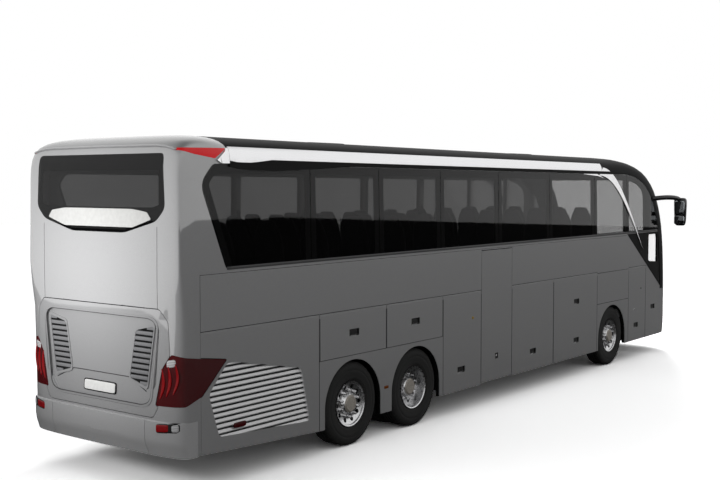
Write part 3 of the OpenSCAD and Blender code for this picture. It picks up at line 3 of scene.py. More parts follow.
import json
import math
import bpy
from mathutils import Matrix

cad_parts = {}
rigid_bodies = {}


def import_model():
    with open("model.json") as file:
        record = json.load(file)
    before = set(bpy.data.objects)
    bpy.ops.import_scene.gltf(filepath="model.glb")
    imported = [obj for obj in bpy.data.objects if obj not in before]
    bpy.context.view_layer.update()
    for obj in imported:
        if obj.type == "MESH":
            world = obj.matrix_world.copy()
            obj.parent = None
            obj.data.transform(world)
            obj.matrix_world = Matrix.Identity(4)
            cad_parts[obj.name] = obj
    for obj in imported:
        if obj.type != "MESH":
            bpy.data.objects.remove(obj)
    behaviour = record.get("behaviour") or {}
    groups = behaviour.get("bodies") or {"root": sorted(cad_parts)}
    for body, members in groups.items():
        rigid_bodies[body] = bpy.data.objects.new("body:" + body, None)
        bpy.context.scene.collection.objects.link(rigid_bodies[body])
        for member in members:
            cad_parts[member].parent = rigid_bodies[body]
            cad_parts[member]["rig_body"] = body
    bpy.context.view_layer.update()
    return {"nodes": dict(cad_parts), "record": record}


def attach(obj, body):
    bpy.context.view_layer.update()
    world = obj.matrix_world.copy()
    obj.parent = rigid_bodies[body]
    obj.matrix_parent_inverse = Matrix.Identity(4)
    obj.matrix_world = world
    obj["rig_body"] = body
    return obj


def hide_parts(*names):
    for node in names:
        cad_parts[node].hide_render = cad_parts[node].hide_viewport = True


bl_info = {
    "name": "Touring coach dressing",
    "version": (1, 0, 0),
    "blender": (4, 5, 0),
    "location": "View3D > Sidebar > Coach",
    "description": "Finishes and fittings of a touring coach around its packed CAD frame",
    "category": "Object",
}

import bmesh
import bpy
import numpy as np
from bpy.props import FloatProperty, IntProperty, PointerProperty, StringProperty
from mathutils import Vector

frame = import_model()

# Sizes of the frame that the pieces follow, in metres, as in the part's source
LENGTH = 13.325
HALF = 1.275
BELT, WAIST, CORNICE, ROOF = 1.68, 2.32, 3.45, 3.77
LEAN = 0.025
BUMPER_TOP, BUMPER_FOOT, TAIL_TURN = 0.77, 0.39, 3.3
TAIL_PROUD, TAIL_LEAN, TAIL_DEPTH, ROOF_CAP, ROOF_FALL = 0.035, 0.06, 0.3, 0.8, 0.06
TAIL_POWER, TAIL_TOP_POWER, NOSE_POWER, CROWN_POWER = 4.5, 15.0, 2.5, 3.4
# Rows of the tail's face: share of its height, share of the change in squareness
TAIL_FACE = ((0, 0), (0.18, 0.03), (0.42, 0.1), (0.52, 0.4), (0.62, 0.9), (0.75, 1), (1, 1))
NOSE_DEPTH, DOME, SCREEN_BASE, CHIN = 0.8, 2.7, 1.2, 0.33
AXLES = {"tag": 2.92, "drive": 4.27, "front": 10.37}
TYRE_RADIUS, TYRE_WIDTH, TYRE_OUTER, TWIN_PITCH = 0.52, 0.295, 1.245, 0.335
SIDES = {"right": -1, "left": 1}
# Joints between the side panes, and the gap over them
PANE_JOINTS, TOP_GAP = (2.129, 3.461, 4.861, 6.412, 8.008, 9.646, 10.969), 0.004
SIDE_DOOR = (5.92, 6.8)
# How far in the middle of a skin lies at some heights: the heights, then the distances in
NOSE_REACH = ((0.33, 0.475, 0.62, 0.881, 1.072, 1.2), (0.105, 0.026, 0, 0, 0.012, TAIL_PROUD))
BUMPER_REACH = ((0.39, 0.504, 0.58, 0.77), (0.07, 0.0175, 0, 0))
# The same for the floor of the hatch's recess: its foot, the top of its shelf and its top
RECESS_REACH = ((0.8755, 1.14, 1.83), (0.052, 0.0727, 0.0797))

# Shading normals: rise of a unit normal up to which a face counts as plain, and from which as curved
PLAIN_RISE, CURVED_RISE = 0.03, 0.15
# Shares of a unit normal along X between which a face comes to count as one of the coach's ends
END_SHARES = (0.85, 0.99)
# Rise given to the normals of the tail's plain faces, so that they mirror the horizon low down
HATCH_RISE, TAIL_RISE = 0.071, 0.1


def at(distance):
    """Place along X of a distance forward from the tail."""
    return distance - LENGTH / 2


# Number and colour helpers

def linear(text):
    """Linear colour of an sRGB hex value: the sRGB curve undone channel by channel."""
    srgb = np.array([int(text[i:i + 2], 16) for i in (1, 3, 5)]) / 255
    flat = np.where(srgb <= 0.04045, srgb / 12.92, ((srgb + 0.055) / 1.055) ** 2.4)
    return (*flat.tolist(), 1.0)


def node(tree, kind, inputs=None, **settings):
    """Adds a node. Settings name its properties or sockets; inputs map its sockets to a value, or to another
    node's output as (node, output)."""
    made = tree.nodes.new(kind)
    for key, value in settings.items():
        if hasattr(made, key):
            setattr(made, key, value)
        else:
            made.inputs[key.replace("_", " ")].default_value = value
    for key, value in (inputs or {}).items():
        if isinstance(value, tuple) and isinstance(value[0], bpy.types.Node):
            tree.links.new(value[0].outputs[value[1]], made.inputs[key])
        else:
            made.inputs[key].default_value = value
    return made


def shader(name, **values):
    """A new material and its tree and main shader, with constant values on the shader's own sockets."""
    made = bpy.data.materials.new(name)
    made.use_nodes = True
    main = made.node_tree.nodes["Principled BSDF"]
    for key, value in values.items():
        main.inputs[key.replace("_", " ")].default_value = value
    return made, made.node_tree, main


def pattern(tree, kind, size_mm, **settings):
    """Texture on Object coordinates, with features of this size."""
    spot = node(tree, "ShaderNodeTexCoord")
    return node(tree, kind, {"Vector": (spot, "Object")}, Scale=1000.0 / size_mm, **settings)


def noise(tree, size_mm, detail):
    """Noise texture with features of this size."""
    return pattern(tree, "ShaderNodeTexNoise", size_mm, Detail=detail)


def bumped(tree, main, texture, depth_mm, strength=1.0, socket="Normal", output="Fac"):
    """Joins a texture to one of the shader's normals as a bump of this depth, and gives it back."""
    height = {"Height": (texture, output)}
    bump = node(tree, "ShaderNodeBump", height, Distance=depth_mm / 1000, Strength=strength)
    tree.links.new(bump.outputs["Normal"], main.inputs[socket])
    return texture


def mottled(tree, main, texture, low, high, socket="Base Color", spread=(0.3, 0.7), output="Fac"):
    """Colours a socket between two values by a texture's output."""
    ramp = node(tree, "ShaderNodeValToRGB", {"Fac": (texture, output)})
    ramp.color_ramp.elements[0].position, ramp.color_ramp.elements[1].position = spread
    ramp.color_ramp.elements[0].color, ramp.color_ramp.elements[1].color = low, high
    tree.links.new(ramp.outputs["Color"], main.inputs[socket])
    return ramp


def grey(value):
    """Colour with the same linear value in each channel."""
    return (value, value, value, 1.0)


# Materials

def metallic_paint(name, colour, shade, gap):
    """Metallic grey lacquer sprayed over steel: fine flakes under a clear coat that mirrors the horizon.
    Deeper than gap behind the outer face of a side it is near black: in joints, behind the glass and inside
    walls, and as painted shade in the gaps and floor of a grille."""
    made, tree, main = shader(name, Metallic=0.2, Roughness=0.45, Coat_Weight=1.0, Coat_IOR=2.1,
                              Coat_Roughness=0.02)
    # flakes are some 0.1 mm across; drawn 4 mm wide so that they show at all
    tone = mottled(tree, main, noise(tree, 4, 2.0), linear(shade), linear(colour), spread=(0.35, 0.65))
    if gap:
        spot = node(tree, "ShaderNodeTexCoord")
        split = node(tree, "ShaderNodeSeparateXYZ", {"Vector": (spot, "Object")})
        side = node(tree, "ShaderNodeMath", {0: (split, "Y")}, operation="ABSOLUTE")
        above = node(tree, "ShaderNodeMath", {0: (split, "Z"), 1: WAIST}, operation="SUBTRACT")
        raised = node(tree, "ShaderNodeMath", {0: (above, 0), 1: 0.0}, operation="MAXIMUM")
        lean = {0: (raised, 0), 1: LEAN / (CORNICE - WAIST), 2: (side, 0)}
        leaned = node(tree, "ShaderNodeMath", lean, operation="MULTIPLY_ADD")
        outer = node(tree, "ShaderNodeMath", {0: (leaned, 0), 1: HALF - gap}, operation="GREATER_THAN")
        # faces deeper than gap turn near black: dark joints and walls behind the glass, and painted shade in
        # a grille's gaps
        tones = {0: (outer, 0), 6: linear("#0b0b0c"), 7: (tone, "Color")}
        face = node(tree, "ShaderNodeMix", tones, data_type="RGBA")
        tree.links.new(face.outputs[2], main.inputs["Base Color"])
    # orange peel of sprayed lacquer, 60 mm waves
    bumped(tree, main, noise(tree, 60, 1.0), 0.1, 0.2, "Coat Normal")
    return made


def gloss_black_lacquer():
    """Black two-pack lacquer on the roof and round the screen: dark, its shine dulled by a film of dust."""
    made, tree, main = shader("gloss_black_lacquer", Roughness=0.5, Specular_IOR_Level=0.04)
    texture = bumped(tree, main, noise(tree, 60, 1.0), 0.2)
    mottled(tree, main, texture, linear("#0f0f10"), linear("#161617"))
    return made


def plated_chrome():
    """Chromium plate on the roof trim: bright, nearly colourless, faint polishing haze."""
    made, tree, main = shader("plated_chrome", Metallic=1.0)
    mottled(tree, main, noise(tree, 120, 3.0), grey(0.16), grey(0.24), "Roughness")
    main.inputs["Base Color"].default_value = linear("#e9e9ea")
    return made


def tinted_glass(name, colour, cover):
    """Privacy glass, float glass with a dark body tint: glossy outside, a dim view of the inside."""
    made, tree, main = shader(name, Roughness=0.02, IOR=1.5, Alpha=cover, Specular_IOR_Level=0.4)
    wave = bumped(tree, main, noise(tree, 900, 1.0), 0.3, 0.3)
    mottled(tree, main, wave, linear(colour), linear("#050506"))
    return made


def tyre_rubber():
    """Carbon-black rubber, moulded: dull, a little greyer where dust lies."""
    made, tree, main = shader("tyre_rubber", Roughness=0.85)
    texture = bumped(tree, main, noise(tree, 9, 4.0), 0.6)
    mottled(tree, main, texture, linear("#0d0d0d"), linear("#1c1c1b"))
    return made


def polished_aluminium():
    """Forged aluminium rim, turned and polished: bright, with fine turning marks and a trace of road dust."""
    made, tree, main = shader("polished_aluminium", Metallic=1.0)
    texture = bumped(tree, main, noise(tree, 25, 5.0), 0.15)
    mottled(tree, main, texture, linear("#b9b9ba"), linear("#e2e2e3"))
    mottled(tree, main, texture, grey(0.22), grey(0.36), "Roughness")
    return made


def cast_iron(name, low, high):
    """Sand-cast iron, dry: coarse grain and a bloom of rust or road dust between two tones."""
    made, tree, main = shader(name, Metallic=0.6, Roughness=0.7)
    texture = bumped(tree, main, noise(tree, 18, 6.0), 1.2)
    mottled(tree, main, texture, linear(low), linear(high))
    return made


def moulded_plastic(name, low, high, roughness, grain_mm, depth_mm):
    """Moulded plastic or rubber, or a paint as even: close tones and a fine grain of this width and depth."""
    made, tree, main = shader(name, Roughness=roughness, IOR=1.5)
    texture = bumped(tree, main, noise(tree, grain_mm, 3.0), depth_mm)
    mottled(tree, main, texture, linear(low), linear(high))
    return made


def lens(name, low, high, rib_mm, glow=0.0):
    """Moulded acrylic lens: clear colour with fine upright ribs on its back that break the light."""
    made, tree, main = shader(name, Roughness=0.12, IOR=1.49, Specular_IOR_Level=0.3)
    ribs = pattern(tree, "ShaderNodeTexWave", rib_mm * 2 * math.pi, bands_direction="Z", Distortion=0.4)
    bumped(tree, main, ribs, 1.0, 0.5, output="Color")
    mottled(tree, main, ribs, linear(low), linear(high), output="Color")
    main.inputs["Emission Color"].default_value = linear(high)
    main.inputs["Emission Strength"].default_value = glow
    return made


def seat_moquette():
    """Woven plush on the seats: short pile, two close greys in the weave, a soft sheen."""
    made, tree, main = shader("seat_moquette", Roughness=0.95, Sheen_Weight=0.3)
    # pile loops are 2 mm apart; drawn 12 mm wide so that they show
    pile = bumped(tree, main, pattern(tree, "ShaderNodeTexVoronoi", 12), 2.0, output="Distance")
    mottled(tree, main, pile, linear("#242428"), linear("#101013"), spread=(0.1, 0.7), output="Distance")
    return made


def enamel(name, colour, shade):
    """Stove enamel on sheet metal: smooth, slightly uneven gloss."""
    made, tree, main = shader(name, Roughness=0.35, Coat_Weight=0.3)
    texture = bumped(tree, main, noise(tree, 40, 2.0), 0.1)
    mottled(tree, main, texture, linear(shade), linear(colour))
    return made


def mirror_glass():
    """Silvered mirror glass: a clean reflection with a faint blue cast."""
    made, tree, main = shader("mirror_glass", Metallic=1.0)
    mottled(tree, main, noise(tree, 80, 2.0), grey(0.02), grey(0.05), "Roughness")
    main.inputs["Base Color"].default_value = linear("#dfe4e8")
    return made


FINISH = {}


def make_finishes(colours):
    """Makes every material once, from the colours that the panel offers."""
    FINISH.update({
        "wall": metallic_paint("metallic_paint_walls", colours.paint, colours.paint_shade, 0.008),
        # side grille slats: a lighter copy of the body paint as painted light where they catch the lamp,
        # painted shade deeper than 21 mm
        "louvre": metallic_paint("metallic_paint_louvres", "#dededf", "#d2d2d3", 0.021),
        "paint": metallic_paint("metallic_paint_ends", colours.paint, colours.paint_shade, 0.0),
        # rear bumper: a lighter copy of the same body paint, painted light where the lamp reaches it less
        "bumper": metallic_paint("metallic_paint_bumper", "#cbcbcc", "#c0c0c1", 0.0),
        "slat": moulded_plastic("grey_louvre_plastic", "#78787a", "#848486", 0.5, 12, 0.1),
        "roof": gloss_black_lacquer(),
        "chrome": plated_chrome(),
        "glass": tinted_glass("privacy_glass", colours.glass, 0.56),
        "screen": tinted_glass("laminated_screen_glass", "#0a0b0b", 0.06),
        "tyre": tyre_rubber(),
        "alloy": polished_aluminium(),
        "iron": cast_iron("sand_cast_iron", "#1c1a18", "#3a3633"),
        "hub": cast_iron("dusty_hub_casting", "#a09a92", "#c0bab1"),
        "chassis": moulded_plastic("matt_chassis_paint", "#151516", "#1f1f20", 0.6, 30, 0.3),
        "lining": moulded_plastic("grained_abs_lining", "#18181a", "#222224", 0.7, 6, 0.4),
        "black": moulded_plastic("gloss_black_abs", "#08080a", "#0e0e10", 0.15, 50, 0.05),
        # matt black: rubber and black parts, and also painted shade behind the hatch grilles
        "matt": moulded_plastic("matt_black_epdm", "#060606", "#0b0b0b", 0.8, 4, 0.2),
        "frit": moulded_plastic("black_ceramic_frit", "#020202", "#040404", 0.9, 2, 0.02),
        # grey bead: the real bead under the glass, and also painted shade lines on the hatch
        "bead": moulded_plastic("grey_epdm_bead", "#3c3c3d", "#474748", 0.5, 12, 0.1),
        "red": lens("red_acrylic", "#3c0408", "#5c070d", 5),
        # bright red: the fog lamp's lens, and painted highlights in the tail lamps
        "bright_red": lens("bright_red_acrylic", "#6e070c", "#a81016", 5),
        "crest": lens("lit_red_acrylic", "#b00e14", "#e81c22", 5, 0.3),
        "amber": lens("amber_acrylic", "#6a3008", "#8f4c12", 7),
        "clear": lens("clear_acrylic", "#a9a9aa", "#d9d9da", 9),
        "moquette": seat_moquette(),
        "white": enamel("white_enamel", "#c6c6c4", "#bebebc"),
        "plate": enamel("plate_enamel", "#efefed", "#e6e6e4"),
        "yellow": enamel("yellow_enamel", "#c7a21c", "#a8850f"),
        "mirror": mirror_glass(),
    })


# Shape helpers

def grid_faces(rows, columns, wrap_rows=False, wrap_columns=False):
    """Quads of a grid of points, row by row, joined round where asked."""
    i = np.arange(rows if wrap_rows else rows - 1)[:, None]
    j = np.arange(columns if wrap_columns else columns - 1)[None, :]
    i, j = np.broadcast_arrays(i, j)
    ni, nj = (i + 1) % rows, (j + 1) % columns
    corners = [i * columns + j, i * columns + nj, ni * columns + nj, ni * columns + j]
    return np.stack(corners, -1).reshape(-1, 4)


def grid(points, wrap_rows=False, wrap_columns=False):
    """Points on a grid of shape (rows, columns, 3) as one flat part with its quads."""
    rows, columns = points.shape[:2]
    return points.reshape(-1, 3), grid_faces(rows, columns, wrap_rows, wrap_columns)


def joined(parts):
    """Several parts as one: points stacked, quads counted on."""
    counts = np.cumsum([0] + [len(points) for points, _ in parts])
    faces = [faces + count for (_, faces), count in zip(parts, counts)]
    return np.concatenate([points for points, _ in parts]), np.concatenate(faces)


def copies(part, offsets):
    """One part repeated at each offset."""
    points, faces = part
    offsets = np.asarray(offsets, float)
    many = (points[None] + offsets[:, None]).reshape(-1, 3)
    counts = np.arange(len(offsets)) * len(points)
    return many, (faces[None] + counts[:, None, None]).reshape(-1, 4)


def power(value, exponent):
    """Signed power, which squares off a circle as its exponent falls below one."""
    return np.sign(value) * np.abs(value) ** exponent


def pillow(centre, half_size, square=0.35, edge=0.35, steps=(16, 24)):
    """Closed superellipsoid: cosines and sines of two angles raised to powers and stretched to half sizes."""
    v = np.linspace(-math.pi / 2, math.pi / 2, steps[0])[:, None]
    u = np.linspace(-math.pi, math.pi, steps[1], endpoint=False)[None, :]
    ring = power(np.cos(v), edge)
    x = ring * power(np.cos(u), square)
    y = ring * power(np.sin(u), square)
    z = power(np.sin(v), edge) * np.ones_like(u)
    points = np.stack([x, y, z], -1) * np.asarray(half_size) + np.asarray(centre)
    return grid(points, wrap_columns=True)


def lathe(profile, steps=48):
    """Profile of [along, radius] turned about the Y axis, along counted outward to the right side."""
    profile = np.asarray(profile, float)
    u = np.linspace(0, 2 * math.pi, steps, endpoint=False)[None, :]
    along, radius = profile[:, :1], profile[:, 1:2]
    points = np.stack([radius * np.cos(u), -along * np.ones_like(u), radius * np.sin(u)], -1)
    return grid(points, wrap_columns=True)


def moved(part, offset):
    """The same part shifted by an offset."""
    return part[0] + np.asarray(offset, float), part[1]


def mirrored(part):
    """The same part on the other side of the coach, its faces turned to stay outward."""
    return part[0] * np.array([1.0, -1.0, 1.0]), part[1][:, ::-1]


def both_sides(part):
    """A part together with its mirror image."""
    return joined([part, mirrored(part)])


def swept(path, section, up=(0, 0, 1)):
    """Section of [across, up] carried along a path, square to it and level with the up direction. Its ends
    are closed by rings drawn in to their middles."""
    path, section = np.asarray(path, float), np.asarray(section, float)
    ahead = np.gradient(path, axis=0)
    ahead /= np.linalg.norm(ahead, axis=1, keepdims=True)
    across = np.cross(ahead, np.asarray(up, float))
    across /= np.linalg.norm(across, axis=1, keepdims=True)
    lift = np.cross(across, ahead)
    if section.ndim == 2:
        section = np.broadcast_to(section, (len(path), *section.shape))
    points = path[:, None] + section[..., :1] * across[:, None] + section[..., 1:2] * lift[:, None]
    caps = [np.broadcast_to(end.mean(1, keepdims=True), end.shape) for end in (points[:1], points[-1:])]
    return grid(np.concatenate([caps[0], points, caps[1]]), wrap_columns=True)


def ring_section(width, height, square=1.0, steps=16):
    """Closed section: a circle squared off by a power and stretched to the width and height."""
    u = np.linspace(0, 2 * math.pi, steps, endpoint=False)
    return np.stack([width * power(np.cos(u), square), height * power(np.sin(u), square)], -1)


def bezier(points, t):
    """Cubic curve through its end points, drawn towards the two between."""
    p, t = np.asarray(points, float), np.asarray(t, float)[..., None]
    back = 1 - t
    return back ** 3 * p[0] + 3 * t * back ** 2 * p[1] + 3 * t ** 2 * back * p[2] + t ** 3 * p[3]


def half_at(z):
    """Half width of the body at a height: upright to the waist, leaning in above it."""
    return HALF - LEAN * np.maximum(0, z - WAIST) / (CORNICE - WAIST)


def roof_fall(distance):
    """How far the roof has fallen at a distance from the tail: evenly from the tail's cap to the dome."""
    return ROOF_FALL * np.maximum(0, distance - ROOF_CAP) / (LENGTH - ROOF_CAP - DOME)


# The curved ends: middle line and edge line along a common parameter, squareness across

TAIL_STEPS = 160


def tail_lines():
    """Tail skin as rows of [middle in, middle height, edge in, edge height, squareness]: an upright face that
    grows squarer with its height, then a cubic curve over into the roof."""
    s = np.linspace(0, 1, TAIL_STEPS)
    height = BUMPER_TOP + s * (TAIL_TURN - BUMPER_TOP)
    square = TAIL_POWER + np.interp(s, *np.transpose(TAIL_FACE)) * (TAIL_TOP_POWER - TAIL_POWER)
    middle = TAIL_PROUD + s * (TAIL_LEAN - TAIL_PROUD)
    face = np.stack([middle, height, np.full_like(s, TAIL_DEPTH), height, square], -1)
    middle = bezier([[TAIL_LEAN, TAIL_TURN], [TAIL_LEAN, TAIL_TURN + 0.85 * (ROOF - TAIL_TURN)],
                     [ROOF_CAP * 0.16, ROOF - TAIL_PROUD / 2], [ROOF_CAP, ROOF]], s)
    edge = bezier([[TAIL_DEPTH, TAIL_TURN], [TAIL_DEPTH, TAIL_TURN + 0.7 * (CORNICE - TAIL_TURN)],
                   [ROOF_CAP * 0.55, CORNICE], [ROOF_CAP, CORNICE]], s)
    square = TAIL_TOP_POWER + s * (CROWN_POWER - TAIL_TOP_POWER)
    top = np.concatenate([middle, edge, square[:, None]], 1)
    return np.concatenate([face, top[1:]])


def nose_lines():
    """Nose skin as rows of the same kind: bumper and mask, then the screen's cubic curve over to the roof."""
    s = np.linspace(0, 1, TAIL_STEPS)
    z = np.linspace(CHIN, SCREEN_BASE, 40)[:-1]
    reach = np.interp(z, *NOSE_REACH)
    low = np.stack([reach, z, np.full_like(z, NOSE_DEPTH), z, np.full_like(z, NOSE_POWER)], -1)
    middle_rise, edge_rise = 0.6 * (ROOF - SCREEN_BASE), 0.67 * (CORNICE - SCREEN_BASE)
    middle = bezier([[TAIL_PROUD, SCREEN_BASE], [NOSE_DEPTH * 0.13, SCREEN_BASE + middle_rise],
                     [NOSE_DEPTH * 0.41, ROOF - TAIL_PROUD], [DOME, ROOF - ROOF_FALL]], s)
    edge = bezier([[NOSE_DEPTH, SCREEN_BASE], [NOSE_DEPTH * 1.05, SCREEN_BASE + edge_rise],
                   [NOSE_DEPTH * 1.44, CORNICE], [DOME, CORNICE - ROOF_FALL]], s)
    square = (NOSE_POWER + s ** 2 * (CROWN_POWER - NOSE_POWER))[:, None]
    return np.concatenate([low, np.concatenate([middle, edge, square], 1)])


def bumper_lines():
    """Tail bumper as rows of the same kind: tucked in at its foot, upright above."""
    z = np.linspace(BUMPER_FOOT, BUMPER_TOP, 40)
    reach = np.interp(z, *BUMPER_REACH)
    return np.stack([reach, z, np.full_like(z, TAIL_DEPTH), z, np.full_like(z, TAIL_POWER)], -1)


def skin_level(points, rows):
    """How far outside a skin each point lies: across and along shares of its row raised to the row's power,
    summed. The row is the one whose line from middle to edge passes through the point in side view."""
    inward, height, width = points[:, 0], points[:, 2], np.abs(points[:, 1])
    along = rows[:, 2:4] - rows[:, 0:2]
    up, ahead = height[:, None] - rows[None, :, 1], inward[:, None] - rows[None, :, 0]
    turn = along[None, :, 0] * up - along[None, :, 1] * ahead
    passed = np.clip((turn > 0).sum(1), 1, len(rows) - 1)
    k = np.arange(len(points))
    a, b = turn[k, passed - 1], turn[k, passed]
    share = np.clip(a / np.where(np.abs(a - b) < 1e-12, 1e-12, a - b), 0, 1)[:, None]
    row = rows[passed - 1] + share * (rows[passed] - rows[passed - 1])
    line = row[:, 2:4] - row[:, 0:2]
    reach = (inward - row[:, 0]) * line[:, 0] + (height - row[:, 1]) * line[:, 1]
    reach /= (line ** 2).sum(1)
    return (width / half_at(row[:, 3])) ** row[:, 4] + np.abs(1 - reach) ** row[:, 4]


def skin_normals(points, rows, nose=False):
    """Outward normals of a skin, as the slope of its level in each direction over a few millimetres."""
    local = points.copy()
    local[:, 0] = LENGTH / 2 - points[:, 0] if nose else points[:, 0] + LENGTH / 2
    step = 0.004
    steps = np.eye(3) * step
    slope = np.stack([skin_level(local + d, rows) - skin_level(local - d, rows) for d in steps], -1)
    slope[:, 0] *= -1 if nose else 1
    return slope / np.maximum(np.linalg.norm(slope, axis=1, keepdims=True), 1e-9)


def on_skin(y, z, rows, proud=0.0, nose=False):
    """Points of a skin at places across and heights, raised along its normal: the distance in is halved down
    to where the level is one."""
    y, z = np.broadcast_arrays(np.asarray(y, float), np.asarray(z, float))
    low, high = np.full(y.size, -0.05), np.full(y.size, NOSE_DEPTH)
    for _ in range(30):
        middle = (low + high) / 2
        outside = skin_level(np.stack([middle, y.ravel(), z.ravel()], -1), rows) > 1
        low, high = np.where(outside, middle, low), np.where(outside, high, middle)
    x = LENGTH / 2 - low if nose else low - LENGTH / 2
    points = np.stack([x, y.ravel(), z.ravel()], -1)
    points = points + np.reshape(proud, (-1, 1)) * skin_normals(points, rows, nose)
    return points.reshape(*y.shape, 3)


def skin_stud(rows, centre, half, proud, square=0.5, nose=False, slant=0.0, steps=(9, 36)):
    """Low rounded button on a skin: rings of a squared circle, raised in the middle and sunk at the rim."""
    r = np.linspace(0, 1, steps[0])[:, None]
    u = np.linspace(0, 2 * math.pi, steps[1], endpoint=False)[None, :]
    y = centre[0] + half[0] * r * power(np.cos(u), square)
    z = centre[1] + half[1] * r * power(np.sin(u), square) + slant * (y - centre[0])
    lift = (proud * (1 - r ** 6) - 0.004 * r ** 6) * np.ones_like(u)
    points = on_skin(y, z, rows, lift.ravel(), nose)
    return grid(points, wrap_columns=True)


def stud(distance, height, half, thick, square=0.4, steps=(10, 28)):
    """Low rounded button on the right side: a squared pillow lying against the wall."""
    points, faces = pillow((0, 0, 0), (half[0], half[1], thick), square, 0.4, steps)
    return points[:, [0, 2, 1]] + np.array([at(distance), -half_at(height), height]), faces[:, ::-1]


def rounded(corners, reach, steps=8):
    """Outline with each corner drawn as a short parabola between points at this reach along its two sides."""
    b = np.asarray(corners, float)
    back, ahead = np.roll(b, 1, 0) - b, np.roll(b, -1, 0) - b
    p = b + reach * back / np.linalg.norm(back, axis=1, keepdims=True)
    q = b + reach * ahead / np.linalg.norm(ahead, axis=1, keepdims=True)
    s = np.linspace(0, 1, steps)[None, :, None]
    bends = (1 - s) ** 2 * p[:, None] + 2 * s * (1 - s) * b[:, None] + s ** 2 * q[:, None]
    return bends.reshape(-1, 2)


def folded(half, reach):
    """Closed outline of [across, height] from the points of its left half and their mirror image, with its
    corners rounded."""
    return rounded(half + [(-y, z) for y, z in half[::-1]], reach)


def on_side(outline, depth):
    """Outline of [distance from the tail, height] laid on the right side at a depth under its face."""
    return np.stack([at(outline[:, 0]), -half_at(outline[:, 1]) + depth, outline[:, 1]], -1)


def on_tail(outline, depth):
    """Outline of [across, height] laid on the tail skin at a depth under its face."""
    return on_skin(outline[:, 0], outline[:, 1], TAIL_ROWS, -depth)


def on_recess(outline, depth):
    """Outline of [across, height] laid on the floor of the hatch's recess at a depth under it."""
    inward = np.interp(outline[:, 1], *RECESS_REACH) + depth
    return np.stack([at(inward), outline[:, 0], outline[:, 1]], -1)


def layers(start, end, lay, depths, rows):
    """Rings of points from one outline to another, laid on a face at a depth, and back again at a second."""
    share = np.linspace(0, 1, rows)[:, None, None]
    rings = start + share * (end - start)
    return np.stack([lay(ring, depths[0]) for ring in rings] + [lay(ring, depths[1]) for ring in rings[::-1]])


def rim(outer, inner, lay, depths, rows=2):
    """Flat ring between two outlines of as many points, laid on a face and as thick as two depths say."""
    return grid(layers(outer, inner, lay, depths, rows), wrap_rows=True, wrap_columns=True)


def slab(outline, lay, depths, rows=4):
    """Flat plate inside an outline, laid on a face and as thick as two depths say; its rings shrink to the
    outline's middle."""
    return grid(layers(outline.mean(0), outline, lay, depths, rows), wrap_columns=True)


def window_top(distance):
    """Height of the top of the side glass, which falls with the roof towards the front."""
    return CORNICE - TOP_GAP - roof_fall(distance)


TAIL_ROWS, NOSE_ROWS, BUMPER_ROWS = tail_lines(), nose_lines(), bumper_lines()


# Objects

SLOTS = {row["node"]: row["material_slot"] for row in frame["record"]["subparts"]}


def vertex_points(mesh):
    """Places of a mesh's vertices as rows of an array."""
    points = np.zeros(len(mesh.vertices) * 3)
    mesh.vertices.foreach_get("co", points)
    return points.reshape(-1, 3)


def place(name, part, finish, body, sharp=None):
    """Puts a part into a new object, smooth up to a sharp angle, that rides on a body with one finish."""
    points, faces = part
    mesh = bpy.data.meshes.new(name)
    mesh.from_pydata(points.tolist(), [], faces.tolist())
    tools = bmesh.new()
    tools.from_mesh(mesh)
    bmesh.ops.remove_doubles(tools, verts=tools.verts, dist=1e-6)
    bmesh.ops.dissolve_degenerate(tools, edges=tools.edges, dist=1e-7)
    bmesh.ops.recalc_face_normals(tools, faces=tools.faces)
    tools.to_mesh(mesh)
    tools.free()
    if not len(mesh.polygons):
        raise RuntimeError(f"{name} came out with no faces")
    mesh.polygons.foreach_set("use_smooth", np.full(len(mesh.polygons), True))
    if sharp:
        mesh.set_sharp_from_angle(angle=math.radians(sharp))
    mesh.materials.append(FINISH[finish])
    made = bpy.data.objects.new(name, mesh)
    bpy.context.scene.collection.objects.link(made)
    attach(made, body)
    return made


def upright(normals, rise):
    """Normals with a lean of a degree or two taken out, so that plain walls and panes mirror a level horizon,
    and a rise put in on the plain faces of the ends, where the horizon is mirrored lower down."""
    curved = np.interp(np.abs(normals[:, 2]), (PLAIN_RISE, CURVED_RISE), (0, 1))
    end = np.interp(np.abs(normals[:, 0]), END_SHARES, (0, 1))
    level = normals.copy()
    level[:, 2] = normals[:, 2] * curved + rise * end * (1 - curved)
    return level / np.maximum(np.linalg.norm(level, axis=1, keepdims=True), 1e-9)


def corner_normals(mesh, rows, nose):
    """Normals at the corners of a mesh's faces: flat ones, or those of a skin where the faces lie on it."""
    owner, sizes = np.zeros(len(mesh.loops), np.int32), np.zeros(len(mesh.polygons), np.int32)
    flat = np.zeros(len(mesh.polygons) * 3)
    mesh.loops.foreach_get("vertex_index", owner)
    mesh.polygons.foreach_get("loop_total", sizes)
    mesh.polygons.foreach_get("normal", flat)
    flat = np.repeat(flat.reshape(-1, 3), sizes, axis=0)
    if rows is None:
        return flat
    curved = skin_normals(vertex_points(mesh), rows, nose)[owner]
    agree = (flat * curved).sum(1)[:, None]
    # outer faces take the skin's normal, inner faces its reverse, cut edges stay flat
    return np.where(agree > 0.8, curved, np.where(agree < -0.8, -curved, flat))


